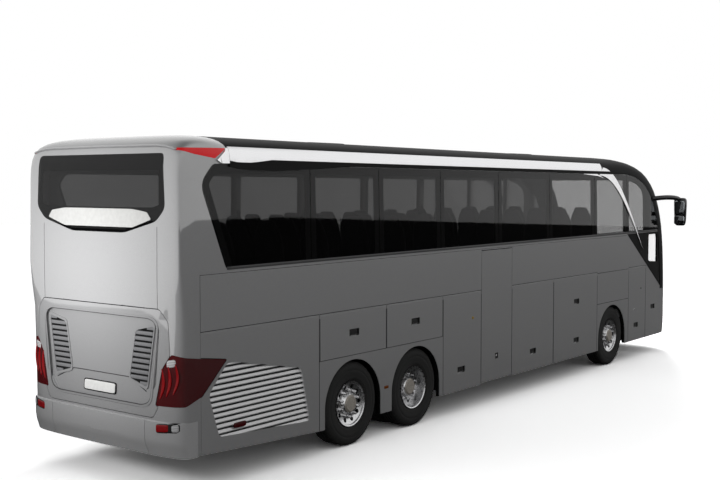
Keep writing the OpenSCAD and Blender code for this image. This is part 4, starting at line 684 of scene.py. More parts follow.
def dressed(source, finish, rows=None, nose=False, crease=32, rise=0.0):
    """Copy of a CAD node that stands for it, merged and shaded smooth: by a skin's own normals where its
    faces lie on the skin, or up to a crease angle, or flat but upright where the crease is nought."""
    original = frame["nodes"][source]
    mesh = original.data.copy()
    tools = bmesh.new()
    tools.from_mesh(mesh)
    bmesh.ops.remove_doubles(tools, verts=tools.verts, dist=1e-5)
    tools.to_mesh(mesh)
    tools.free()
    if mesh.attributes.get("custom_normal"):
        mesh.attributes.remove(mesh.attributes["custom_normal"])
    mesh.polygons.foreach_set("use_smooth", np.full(len(mesh.polygons), True))
    if rows is None and crease:
        mesh.set_sharp_from_angle(angle=math.radians(crease))
    else:
        mesh.normals_split_custom_set(upright(corner_normals(mesh, rows, nose), rise).tolist())
    mesh.materials.clear()
    mesh.materials.append(FINISH[finish])
    mesh.polygons.foreach_set("material_index", np.zeros(len(mesh.polygons), np.int32))
    made = bpy.data.objects.new(source + "_dressed", mesh)
    bpy.context.scene.collection.objects.link(made)
    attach(made, original["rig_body"])
    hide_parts(source)
    return made


def second_finish(made, chosen, finish):
    """Gives the faces whose centres pass a test one more finish."""
    mesh = made.data
    centres, index = np.zeros(len(mesh.polygons) * 3), np.zeros(len(mesh.polygons), np.int32)
    mesh.polygons.foreach_get("center", centres)
    mesh.polygons.foreach_get("material_index", index)
    mesh.materials.append(FINISH[finish])
    picked = chosen(centres.reshape(-1, 3))
    if not picked.any():
        raise RuntimeError(f"no face of {made.name} takes the finish {finish}")
    index[picked] = len(mesh.materials) - 1
    mesh.polygons.foreach_set("material_index", index)


def finish_node(name, finish):
    """Gives a CAD node, whose shape stays, its finish."""
    mesh = frame["nodes"][name].data
    mesh.materials.clear()
    mesh.materials.append(FINISH[finish])


class CoachColours(bpy.types.PropertyGroup):
    """Colours that a user would change, as sRGB hex values."""
    paint: StringProperty(name="Paint", description="Light tone of the metallic paint", default="#b0b0b1")
    paint_shade: StringProperty(name="Paint shade", description="Dark tone of its flakes", default="#a3a3a4")
    glass: StringProperty(name="Glass", description="Tint of the side glass", default="#030304")


class CoachSizes(bpy.types.PropertyGroup):
    """Sizes that a user would change."""
    tread_depth: FloatProperty(
        name="Tread depth", description="Depth of the tyre grooves", default=0.012, unit="LENGTH")
    tread_lugs: IntProperty(
        name="Tread lugs", description="Lugs round each tyre shoulder", default=64, min=24, max=96)
    key_power: FloatProperty(
        name="Key light", description="Power of the large lamp behind the coach", default=39.0, unit="POWER")


class COACH_OT_finish(bpy.types.Operator):
    """Gives every CAD node that keeps its shape its finish"""
    bl_idname = "coach.finish"
    bl_label = "Finish the CAD nodes"

    def execute(self, context):
        make_finishes(context.scene.coach_colours)
        finishes = {"paint": "wall", "roof_black": "roof", "lamp_red": "red", "lamp_clear": "clear",
                    "fabric": "moquette", "gloss_black": "black"}
        for name in frame["nodes"]:
            finish_node(name, finishes.get(SLOTS[name], SLOTS[name]))
        return {"FINISHED"}


class COACH_OT_skins(bpy.types.Operator):
    """Smooths the curved ends, the roof and the wheels"""
    bl_idname = "coach.skins"
    bl_label = "Smooth the curved shells"

    crest_tip_in, crest_tip_out = 0.16, 1.16
    hub_radius = 0.112
    # length over which the black top of the glass covers the trim's lower edge, and the trim's foot there
    covered_length, trim_foot = 5.0, 3.475
    # box that holds the slats of the side grille: depths behind the outer face, distances and heights
    slat_depths, slat_span, slat_heights = (0.002, 0.034), (0.42, 2.2), (0.36, 1.45)

    def execute(self, context):
        dressed("rear_panel", "paint", TAIL_ROWS, rise=TAIL_RISE)
        dressed("engine_hatch", "paint", TAIL_ROWS, rise=HATCH_RISE)
        lamps = dressed("rear_lamps", "red", TAIL_ROWS)
        second_finish(lamps, lambda centres: centres[:, 2] > TAIL_TURN, "crest")
        second_finish(lamps, self.crest_tip, "paint")
        dressed("rear_window", "glass", TAIL_ROWS)
        # the bumper takes a lighter copy of the body paint as painted light
        dressed("rear_bumper", "bumper", BUMPER_ROWS)
        dressed("front_frame", "roof", NOSE_ROWS, True)
        dressed("windscreen", "screen", NOSE_ROWS, True)
        dressed("front_panel", "paint", NOSE_ROWS, True)
        dressed("headlamps", "clear", NOSE_ROWS, True)
        for side in SIDES:
            dressed(f"side_wall_{side}", "wall", crease=0)
            flap = dressed(f"engine_flap_{side}", "wall", crease=0)
            # the grille's slats take a lighter copy of the paint as painted light, with painted shade in
            # their gaps
            second_finish(flap, self.in_grille, "louvre")
        second_finish(dressed("side_windows", "glass", crease=0), self.cab_pane, "screen")
        dressed("roof", "roof")
        second_finish(dressed("roof_trim", "chrome"), self.under_trim, "frit")
        for axle, distance in AXLES.items():
            for side in SIDES:
                wheel = dressed(f"wheel_{axle}_{side}", "alloy")
                second_finish(wheel, lambda centres: self.in_hub(centres, at(distance)), "hub")
        return {"FINISHED"}

    def crest_tip(self, centres):
        """Faces of the crest lamp's tip on the tail's own face, which lie under painted moulding."""
        near = (centres[:, 0] < at(self.crest_tip_in)) & (np.abs(centres[:, 1]) < self.crest_tip_out)
        return near & (centres[:, 2] > TAIL_TURN)

    def cab_pane(self, centres):
        """Faces of the clear panes beside the driver: before the last joint and under the waist."""
        return (centres[:, 0] > at(PANE_JOINTS[-1])) & (centres[:, 2] < WAIST - 0.005)

    def under_trim(self, centres):
        """Faces of the trim's lower edge towards the tail, which belong to the black top of the glass."""
        d, z = centres[:, 0] + LENGTH / 2, centres[:, 2]
        return ((d < self.covered_length) & (z < CORNICE)) | ((d < ROOF_CAP) & (z < self.trim_foot))

    def in_grille(self, centres):
        """Faces of the side grille's slats, which lie a little behind the outer face."""
        values = HALF - np.abs(centres[:, 1]), centres[:, 0] + LENGTH / 2, centres[:, 2]
        limits = self.slat_depths, self.slat_span, self.slat_heights
        return np.all([(low < value) & (value < high) for value, (low, high) in zip(values, limits)], axis=0)

    def in_hub(self, centres, axle):
        """Faces of the wheel's hub: those close to the axle."""
        return np.hypot(centres[:, 0] - axle, centres[:, 2] - TYRE_RADIUS) < self.hub_radius


class COACH_OT_tyres(bpy.types.Operator):
    """Makes the tyres with grooved treads"""
    bl_idname = "coach.tyres"
    bl_label = "Make the tyres"

    # section of the outer wall from the bead to the tread: share of the width, radius
    wall = [(0.12, 0.287), (0.07, 0.298), (0.05, 0.312), (0.045, 0.318), (0.03, 0.32), (0.022, 0.345),
            (0.008, 0.38), (0.0, 0.409), (0.004, 0.412), (0.004, 0.42), (0.0, 0.423), (0.01, 0.455),
            (0.03, 0.478), (0.055, 0.495), (0.09, 0.508), (0.15, 0.519), (0.17, TYRE_RADIUS)]
    # middles of the grooves and their half widths at the tread and at the floor, as shares of the width
    grooves, groove_mouth, groove_floor = (0.27, 0.42, 0.58, 0.73), 0.022, 0.016
    # the shoulder blocks: share of the width, least radius, share of the tread's depth
    shoulder_share, shoulder_radius, cut_share = 0.24, 0.49, 0.8
    steps_per_lug = 4

    def execute(self, context):
        sizes = context.scene.coach_sizes
        tyre = self.tyre(sizes.tread_depth, sizes.tread_lugs)
        for axle, distance in AXLES.items():
            part = moved(tyre, (at(distance), -TYRE_OUTER, TYRE_RADIUS))
            if axle == "drive":
                part = joined([part, moved(part, (0, TWIN_PITCH, 0))])
            for side, sign in SIDES.items():
                made = place(f"treaded_tyre_{axle}_{side}", part if sign < 0 else mirrored(part), "tyre",
                             f"{axle}_wheel_{side}", sharp=40)
                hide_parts(f"tyre_{axle}_{side}")
        return {"FINISHED"}

    def tyre(self, depth, lugs):
        """Tyre turned about its axle from a section of [share of the width, radius]: bead, bulged sidewall
        with two moulded rings, shoulder and grooved tread. A square wave round it cuts the shoulder."""
        floor = TYRE_RADIUS - depth
        section = list(self.wall)
        for middle in self.grooves:
            section += [(middle - self.groove_mouth, TYRE_RADIUS), (middle - self.groove_floor, floor),
                        (middle + self.groove_floor, floor), (middle + self.groove_mouth, TYRE_RADIUS)]
        section = np.array(section + [(1 - share, radius) for share, radius in self.wall[::-1]])
        steps = np.arange(lugs * self.steps_per_lug)
        share, radius = section[:, :1], section[:, 1:]
        shoulder = (np.abs(share - 0.5) > 0.5 - self.shoulder_share) & (radius > self.shoulder_radius)
        radius = radius - shoulder * depth * self.cut_share * (steps % self.steps_per_lug == 0)
        u = steps * 2 * math.pi / len(steps)
        across = np.broadcast_to(share * TYRE_WIDTH, radius.shape)
        points = np.stack([radius * np.cos(u), across, radius * np.sin(u)], -1)
        return grid(points, wrap_rows=True, wrap_columns=True)


class COACH_OT_seats(bpy.types.Operator):
    """Makes the seats as padded cushions and backs on frames"""
    bl_idname = "coach.seats"
    bl_label = "Make the seats"

    deck, aisle, pair_width = 1.6, 0.42, 0.9
    first_row, row_pitch, rows = 1.15, 0.81, 12
    # room that a seat takes before and behind its place, and the wall behind the stairs
    before, behind, stair_wall = 0.47, 0.25, 0.13
    driver = (11.275, -0.56, 1.05)
    back_half = (0.06, 0.208, 0.43)

    def execute(self, context):
        spots = []
        for row in range(self.rows):
            d = self.first_row + row * self.row_pitch
            over_stairs = d + self.before > SIDE_DOOR[0] - self.stair_wall and d - self.behind < SIDE_DOOR[1]
            for sign in (1,) if over_stairs else (1, -1):
                spots += [(at(d), sign * (self.aisle / 2 + self.pair_width * share), self.deck)
                          for share in (0.25, 0.75)]
        spots.append((at(self.driver[0]), *self.driver[1:]))
        cushion = pillow((0.235, 0, 0.4), (0.225, 0.212, 0.066), 0.3, 0.5, (14, 28))
        cushions = place("seat_cushions", copies(cushion, spots), "moquette", "coach")
        backs = place("seat_backs", copies(self.back(), spots), "moquette", "coach")
        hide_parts("seats")
        leg = pillow((0.19, 0, 0.165), (0.045, 0.09, 0.163), 0.3, 0.15, (8, 16))
        place("seat_legs", copies(leg, spots), "chassis", "coach")
        return {"FINISHED"}

    def back(self):
        """Seat back: a pillow sheared backward with its height and drawn in towards a round head rest."""
        points, faces = pillow((0, 0, 0), self.back_half, 0.5, 0.35, (28, 28))
        share = points[:, 2] / (2 * self.back_half[2]) + 0.5
        narrow = 1 - 0.32 * np.clip((share - 0.62) / 0.3, 0, 1) ** 2
        thick = 1 - 0.35 * np.clip(share - 0.35, 0, 1)
        lean, height = 0.068 + 0.112 * share, 0.345 + 0.87 * share
        return np.stack([points[:, 0] * thick - lean, points[:, 1] * narrow, height], -1), faces


class COACH_OT_mirrors(bpy.types.Operator):
    """Makes the hanging mirrors on their curved arms"""
    bl_idname = "coach.mirrors"
    bl_label = "Make the mirrors"

    out, head_half, head_place, pane_place = 1.5, (0.065, 0.125, 0.27), (12.95, 2.68), 12.887
    # panes: height of the middle, half width, half height
    panes = ((2.76, 0.1, 0.13), (2.52, 0.1, 0.08))

    def execute(self, context):
        line = bezier([[at(12.18), -1.19, 2.93], [at(12.35), -1.44, 2.98], [at(12.9), -self.out, 2.98],
                       [at(12.94), -self.out, 2.88]], np.linspace(0, 1, 24))
        arm = swept(line, ring_section(0.034, 0.045, 0.8, 16))
        shells = both_sides(joined([arm, self.head()]))
        housing = place("mirror_housings", shells, "black", "coach")
        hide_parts("mirrors")
        panes = [pillow((at(self.pane_place), -self.out, z), (0.004, width, height), 0.3, 0.25, (8, 32))
                 for z, width, height in self.panes]
        place("mirror_panes", both_sides(joined(panes)), "mirror", "coach")
        return {"FINISHED"}

    def head(self):
        """Mirror housing: a squared pillow, narrower towards its foot."""
        points, faces = pillow((0, 0, 0), self.head_half, 0.45, 0.35, (28, 32))
        slim = 0.82 + 0.18 * (points[:, 2] / (2 * self.head_half[2]) + 0.5)
        d, z = self.head_place
        x, y = points[:, 0] * slim + at(d), points[:, 1] * slim - self.out
        return np.stack([x, y, points[:, 2] + z], -1), faces


class COACH_OT_glazing(bpy.types.Operator):
    """Prints the black ceramic borders on the glass and lays the bead under it"""
    bl_idname = "coach.glazing"
    bl_label = "Print the glass borders"

    # depths under the outer face between which a border lies
    depths = (0.004, 0.006)
    # half the joint between two panes, and the border at a pane's sides and top
    joint, border, top_border = 0.006, 0.09, 0.1
    # heights of the outer and the inner edge of a border along the waist
    sill, inner_sill = WAIST + 0.006, WAIST + 0.03
    # trim's lower edge: distances and heights of the line that dips at the tail, and heights and half widths
    dip = ((0.8, 0.88, 1.11, 1.31, 1.44), (3.48, 3.466, 3.463, 3.481, 3.5))
    trim_section = ((3.46, 3.4905, 3.5092, 3.5244), (1.268, 1.2677, 1.267, 1.2658))

    def execute(self, context):
        panes = [self.pane(start, end) for start, end in zip(PANE_JOINTS, PANE_JOINTS[1:])]
        rings = joined([self.tail_pane(), *panes, self.front_pane()])
        place("side_glass_borders", both_sides(rings), "frit", "coach", sharp=30)
        place("cab_glass_border", self.cab_pane(), "frit", "coach", sharp=30)
        place("rear_glass_border", self.rear_pane(), "frit", "coach", sharp=30)
        place("trim_edge_bands", both_sides(self.trim_edge()), "frit", "coach", sharp=30)
        place("window_beads", both_sides(self.bead()), "bead", "coach")
        return {"FINISHED"}

    def pane(self, start, end):
        """Border of one side pane: a ring from its edge to a rounded inner outline."""
        a, b = start + self.joint, end - self.joint
        outer = [(a, self.sill), (b, self.sill), (b, window_top(b)), (a, window_top(a))]
        c, d = a + self.border, b - self.border
        inner = [(c, self.inner_sill), (d, self.inner_sill), (d, window_top(b) - self.top_border),
                 (c, window_top(a) - self.top_border)]
        return rim(rounded(outer, 0.01), rounded(inner, 0.05), on_side, self.depths)

    def tail_pane(self):
        """Border of the last side pane, whose rear edge leans back to the crest lamp."""
        b = PANE_JOINTS[0] - self.joint
        outer = [(0.745, self.sill), (b, self.sill), (b, window_top(b)), (0.6, 3.44), (0.415, 3.24)]
        c = b - self.border
        inner = [(0.83, self.inner_sill), (c, self.inner_sill), (c, 3.34), (0.6, 3.345), (0.5, 3.23)]
        return rim(rounded(outer, 0.01), rounded(inner, 0.04), on_side, self.depths)

    def front_pane(self):
        """Border of the first side pane, whose top falls with the screen."""
        a, b = 10.976, 11.07
        outer = [(a, self.sill), (12.03, self.sill), (12.03, 3.02), (11.8, 3.2), (11.45, 3.31), (a, 3.376)]
        inner = [(b, self.inner_sill), (11.7, self.inner_sill), (11.7, 3.0), (11.62, 3.12), (11.4, 3.22),
                 (b, 3.28)]
        return rim(rounded(outer, 0.01), rounded(inner, 0.05), on_side, self.depths)

    def cab_pane(self):
        """Border of the driver's low pane, under the blade that falls from the roof trim."""
        outer = [(11.03, 2.302), (12.48, 1.312), (12.46, 1.72), (12.4, 2.302)]
        inner = [(11.97, 2.268), (11.97, 1.765), (12.4, 1.735), (12.36, 2.268)]
        return rim(rounded(outer, 0.01), rounded(inner, 0.03), on_side, self.depths)

    def rear_pane(self):
        """Border of the rear window, wide below its clear field."""
        outer = [(0.42, 2.722), (0.93, 2.85), (1.056, 2.985), (1.03, 3.545)]
        inner = [(0.4, 2.985), (0.88, 2.99), (0.985, 3.02), (0.975, 3.375)]
        return rim(folded(outer, 0.02), folded(inner, 0.02), on_tail, self.depths, 4)

    def bead(self):
        """Bead under the right side's glass: a flat section carried along the waist."""
        d = np.linspace(0.74, 12.36, 160)
        line = np.stack([at(d), np.full_like(d, -HALF), np.full_like(d, WAIST + 0.016)], -1)
        return swept(line, ring_section(0.005, 0.017, 0.6, 12))

    def trim_edge(self):
        """Black top of the glass over the trim's lower edge: heights between its foot and a line that dips at
        the tail, carried along the falling roof on the trim's outer section."""
        d = np.linspace(ROOF_CAP + 0.002, 10.55, 90)[None, :]
        share = np.linspace(0, 1, 5)[:, None]
        z = CORNICE + share * (np.interp(d, *self.dip) - CORNICE)
        y = np.interp(z, *self.trim_section)
        x, z = at(d) * np.ones_like(z), z - roof_fall(d)
        layers = [np.stack([x, -y - out, z], -1) for out in (0.0015, -0.004)]
        return grid(np.concatenate([layers[0], layers[1][::-1]]), wrap_rows=True)


class COACH_OT_lamps(bpy.types.Operator):
    """Adds the lenses inside the lamps, painted highlights in the tail lamps, the markers and the reflectors
    """
    bl_idname = "coach.lamps"
    bl_label = "Add lenses and markers"

    # lamps on the right: middle across and up, half width and half height
    fog_lamp, fog_bezel = ((-1.03, 0.71), (0.095, 0.046)), ((-1.082, 0.713), (0.155, 0.056))
    bumper_reflector, reversing_lamp = ((-1.175, 0.72), (0.043, 0.044)), ((-1.12, 1.385), (0.06, 0.042))
    brake_lamp, indicator = ((0, 2.757), (0.52, 0.012)), ((-1.09, 0.93), (0.05, 0.05))
    bowls, bowl_half = ((-0.78, 0.86), (-0.97, 0.9)), (0.07, 0.055)
    # studs on the right side: distance from the tail, height, half sizes, thickness
    reflector, marker = (0.922, 0.63, (0.095, 0.03), 0.008), (3.595, 0.631, (0.045, 0.02), 0.008)
    bumper_slant, tail_slant = -0.09, -0.2

    def execute(self, context):
        slant = self.bumper_slant
        # the fog lamp's red lens, and three bright bows that are painted highlights in each tail lamp
        red = [skin_stud(BUMPER_ROWS, *self.fog_lamp, 0.005, 0.35, slant=slant),
               *(self.highlight_crescent(k) for k in range(3))]
        silver = [skin_stud(BUMPER_ROWS, *self.bumper_reflector, 0.005, 0.45, slant=slant),
                  skin_stud(TAIL_ROWS, *self.reversing_lamp, 0.004, 0.6, slant=self.tail_slant)]
        bezel = skin_stud(BUMPER_ROWS, *self.fog_bezel, 0.003, 0.35, slant=slant)
        place("bumper_lamp_bezels", both_sides(bezel), "matt", "coach")
        place("bright_red_lenses", both_sides(joined(red)), "bright_red", "coach")
        place("silver_lenses", both_sides(joined(silver)), "clear", "coach")
        brake = skin_stud(TAIL_ROWS, *self.brake_lamp, 0.006, 0.2, steps=(6, 80))
        place("high_brake_lamp", brake, "matt", "coach")
        bowls = [skin_stud(NOSE_ROWS, spot, self.bowl_half, 0.006, 0.9, True) for spot in self.bowls]
        place("headlamp_bowls", both_sides(joined(bowls)), "chrome", "coach")
        indicator = skin_stud(NOSE_ROWS, *self.indicator, 0.006, 0.7, True)
        place("front_indicators", both_sides(indicator), "amber", "coach")
        reflector = stud(*self.reflector)
        place("grille_reflector_right", reflector, "red", "engine_flap_right")
        place("grille_reflector_left", mirrored(reflector), "red", "engine_flap_left")
        place("amber_markers", both_sides(stud(*self.marker)), "amber", "coach")
        return {"FINISHED"}

    def highlight_crescent(self, k):
        """Painted highlight of a tail lamp: a bright red bow, a flat section carried down the tail skin along
        a shallow arc.
        """
        t = np.linspace(0, 1, 24)
        z = 1.325 - 0.32 * t + 0.03 * k
        y = -(1.0 + 0.085 * k) - 0.035 * np.sin(math.pi * t) + 0.03 * t
        path = on_skin(y, z, TAIL_ROWS, 0.001)
        width = (0.006 + 0.018 * np.sin(math.pi * t))[:, None, None]
        section = ring_section(1, 1, 0.8, 12)[None] * np.concatenate([np.full_like(width, 0.004), width], -1)
        return swept(path, section, up=(0, 1, 0))


class COACH_OT_fittings(bpy.types.Operator):
    """Adds the panels, plate, locks, wheel nuts, wipers and roof hatches"""
    bl_idname = "coach.fittings"
    bl_label = "Add the fittings"

    # plate on the sloping shelf: distance in, height, slope
    plate_in, plate_height, plate_slope = 0.0641, 1.03, 0.0207 / 0.2645
    # plate and its surround: half sizes, finish, height over the shelf
    plates = {"plate_surround": ((0.275, 0.066), "black", 0.004),
              "blank_plate": ((0.26, 0.053), "plate", 0.009)}
    # round locks on the right side: distance from the tail and height, radius, finish, body
    locks = (((5.686, 1.312), 0.022, "yellow", "bay_flap_1_right"),
             ((6.35, 0.68), 0.018, "chrome", "side_door"),
             ((11.33, 0.903), 0.018, "chrome", "cab_flap_right"),
             ((11.627, 1.276), 0.014, "matt", "cab_flap_right"))
    # right grille of the hatch: inner top, outer top, outer foot, inner foot
    grille = ((-0.593, 1.693), (-0.879, 1.755), (-0.767, 1.106), (-0.493, 1.178))
    shelf_edge = ((-0.752, 1.058), (-0.463, 1.182), (0.463, 1.182), (0.752, 1.058))
    # joint strips: section, distance from an upright edge, height over the belt and end below it
    joint_section = ring_section(0.001, 0.004, 0.5, 8)
    edge_inset, over_belt, under_belt = 0.004, 0.013, 0.04
    # wheel nuts: bolt circle, count, band of the disc they stand on
    bolt_radius, nuts, disc_band = 0.1675, 10, (0.125, 0.19)

    def execute(self, context):
        self.tail_top()
        self.plate()
        for spot, radius, finish, body in self.locks:
            button = stud(*spot, (radius, radius), 0.006, 1.0)
            place(f"lock_{body}_{round(spot[0] * 100)}", button, finish, body)
        self.front_arches()
        self.wheel_nuts()
        self.hatch_front()
        self.hatch_joint()
        self.joint_lines()
        wipers = joined([self.wiper(0.12, 0.75), self.wiper(-0.7, -0.07)])
        place("wipers", wipers, "matt", "coach")
        hatches = [pillow((at(d), 0, ROOF - roof_fall(d)), (0.4, 0.32, 0.022), 0.2, 0.4, (14, 48))
                   for d in (3.6, 8.8)]
        place("roof_hatches", joined(hatches), "roof", "coach")
        return {"FINISHED"}

    def tail_top(self):
        """Sign panel on the rear glass and the lip over it, both laid on the tail skin."""
        outline = folded([(0.565, 2.775), (0.862, 2.864), (0.8, 2.94), (0.56, 2.97)], 0.02)
        panel = slab(outline, on_tail, (-0.003, 0.002), 24)
        place("tail_sign_panel", panel, "white", "coach", sharp=30)
        y = np.linspace(-1.18, 1.18, 121)
        z = np.interp(np.abs(y), [0, 0.88, 1.0, 1.1, 1.18], [3.636, 3.63, 3.622, 3.605, 3.585])
        lip = swept(on_skin(y, z, TAIL_ROWS, 0.002), ring_section(0.014, 0.012, 0.8, 14))
        place("tail_lip", lip, "paint", "coach")

    def plate(self):
        """Blank plate and its surround: flat squared pillows on the sloping shelf of the hatch's recess."""
        for name, (half, finish, out) in self.plates.items():
            points, faces = pillow((0, 0, 0), (*half, 0.005), 0.2, 0.3, (10, 60))
            across, up, thick = points.T
            x = at(self.plate_in + self.plate_slope * up) - out - thick
            part = np.stack([x, across, up + self.plate_height], -1), faces
            place(name, part, finish, "engine_hatch")

    def front_arches(self):
        """Splash plates at the front wheels, and the joint strips of the panels over them."""
        plates = [pillow((at(11.035), y, 0.56), (0.006, 0.42, 0.22), 0.1, 0.1, (8, 16))
                  for y in (-0.76, 0.76)]
        place("front_splash_plates", joined(plates), "matt", "coach")
        strips = [self.strip((at(9.768), z), (at(11.058), z), (0, 0, 1)) for z in (1.674, 1.135)]
        place("front_arch_joints", both_sides(joined(strips)), "matt", "coach")

    def hatch_front(self):
        """Raised frame, two louvred grilles and the shelf's edge on the hatch, with painted shade in the
        recess: a dark ring inside the frame, black slabs behind the slats, a dark line on the shelf's crease.
        """
        outlines = [folded([(0.73 + r, 0.913 - r), (0.835 + r, 0.963 - r / 2), (0.94 + r, 1.775 + r / 2),
                            (0.85 + r, 1.837 + r)], 0.07) for r in (0.022, 0.0, -0.008)]
        border = rim(outlines[0], outlines[1], on_tail, (-0.006, 0.004))
        place("hatch_frame", border, "paint", "engine_hatch", sharp=30)
        # dark ring just inside the frame: painted shadow of the recess's edge
        shadow_ring = rim(outlines[1], outlines[2], on_tail, (-0.001, 0.004))
        place("hatch_groove", shadow_ring, "bead", "engine_hatch", sharp=30)
        grille = np.array(self.grille)
        # black slab behind the slats: painted shade of the opening behind the grille
        grille_shade = slab(rounded(grille, 0.03), on_recess, (-0.002, 0.003))
        place("hatch_grille_wells", both_sides(grille_shade), "matt", "engine_hatch", sharp=30)
        wide = grille.mean(0) + 1.1 * (grille - grille.mean(0))
        edge = rim(rounded(wide, 0.05), rounded(grille, 0.04), on_recess, (-0.013, 0.003))
        place("hatch_grille_edges", both_sides(edge), "paint", "engine_hatch", sharp=30)
        steps = np.linspace(0, 3, 40)
        line = np.stack([np.interp(steps, range(4), values) for values in zip(*self.shelf_edge)], -1)
        # darker grey line along the crease between shelf and recess floor: painted shade
        shelf = swept(on_recess(line, -0.001), ring_section(0.005, 0.005, 1.0, 10))
        place("hatch_shelf_edge", shelf, "bead", "engine_hatch")
        slats = joined([self.slat(grille, z) for z in np.linspace(1.135, 1.73, 11)])
        place("hatch_grille_slats", both_sides(slats), "slat", "engine_hatch")

    def slat(self, grille, z):
        """Level slat between the two edges of a grille: a flat section carried along the recess."""
        inner_edge, outer_edge = grille[[2, 3, 0, 1]], grille[[2, 1]]
        inner, outer = (np.interp(z, edge[:, 1], edge[:, 0]) for edge in (inner_edge, outer_edge))
        y = np.linspace(inner, outer, 12)
        line = np.stack([y, np.full_like(y, z)], -1)
        return swept(on_recess(line, -0.004), ring_section(0.007, 0.02, 0.6, 12))

    def hatch_joint(self):
        """Dark strip on the tail along the joint over the hatch; its height is measured beside the hinges."""
        points = vertex_points(frame["nodes"]["engine_hatch"].data)
        top = points[np.abs(points[:, 1]) > 0.7, 2].max() + 0.004
        y = np.linspace(-0.8, 0.8, 60)
        path = on_skin(y, top, TAIL_ROWS, 0.0015)
        place("hatch_top_joint", swept(path, self.joint_section), "matt", "coach")

    def strip(self, a, b, up):
        """Thin dark strip on the right side between two places."""
        path = np.linspace((a[0], -HALF, a[1]), (b[0], -HALF, b[1]), 3)
        return swept(path, self.joint_section, up)

    def joint_lines(self):
        """Dark joint round each flap: thin strips on its face along the upright edges and on the wall over
        its top."""
        for name in frame["nodes"]:
            if "_flap_" not in name:
                continue
            points = vertex_points(frame["nodes"][name].data)
            (x0, _, z0), (x1, _, z1) = points.min(0), points.max(0)
            z1 = min(z1, BELT) - self.under_belt
            edges = [x1 - self.edge_inset]
            if not name.startswith("engine"):
                edges.append(x0 + self.edge_inset)
            part = joined([self.strip((x, z0), (x, z1), (1, 0, 0)) for x in edges])
            top = self.strip((x0, BELT + self.over_belt), (x1, BELT + self.over_belt), (0, 0, 1))
            for label, piece, body in (("_joint", part, name), ("_top_joint", top, "coach")):
                piece = piece if name.endswith("right") else mirrored(piece)
                place(name + label, piece, "matt", body)

    def wheel_nuts(self):
        """Rounded nuts on each wheel's disc, set on the disc's outermost faces at the bolt circle."""
        nut = lathe([(-0.004, 0), (-0.004, 0.019), (0.006, 0.019), (0.009, 0.0155), (0.026, 0.0155),
                     (0.03, 0.012), (0.031, 0)], 6)
        u = (np.arange(self.nuts) + 0.5) * 2 * math.pi / self.nuts
        across, up = self.bolt_radius * np.cos(u), self.bolt_radius * np.sin(u)
        for axle, distance in AXLES.items():
            points = vertex_points(frame["nodes"][f"wheel_{axle}_right"].data)
            radius = np.hypot(points[:, 0] - at(distance), points[:, 2] - TYRE_RADIUS)
            disc = points[(radius > self.disc_band[0]) & (radius < self.disc_band[1]), 1].min()
            spots = np.stack([at(distance) + across, np.full(self.nuts, disc), TYRE_RADIUS + up], -1)
            nuts = copies(nut, spots)
            place(f"wheel_nuts_{axle}_right", nuts, "alloy", f"{axle}_wheel_right", sharp=30)
            place(f"wheel_nuts_{axle}_left", mirrored(nuts), "alloy", f"{axle}_wheel_left", sharp=30)

    def wiper(self, start, end):
        """Wiper: an arm and a blade as slim sections carried over the screen's skin."""
        t = np.linspace(0, 1, 24)
        width = end - start
        arm = on_skin(start + width * 0.6 * t, 1.24 + 0.28 * t, NOSE_ROWS, 0.02 + 0.01 * t, True)
        blade = on_skin(start + 0.1 + width * t, 1.4 + 0.24 * t, NOSE_ROWS, 0.012, True)
        return joined([swept(arm, ring_section(0.009, 0.007, 0.8, 10)),
                       swept(blade, ring_section(0.008, 0.013, 0.7, 10))])


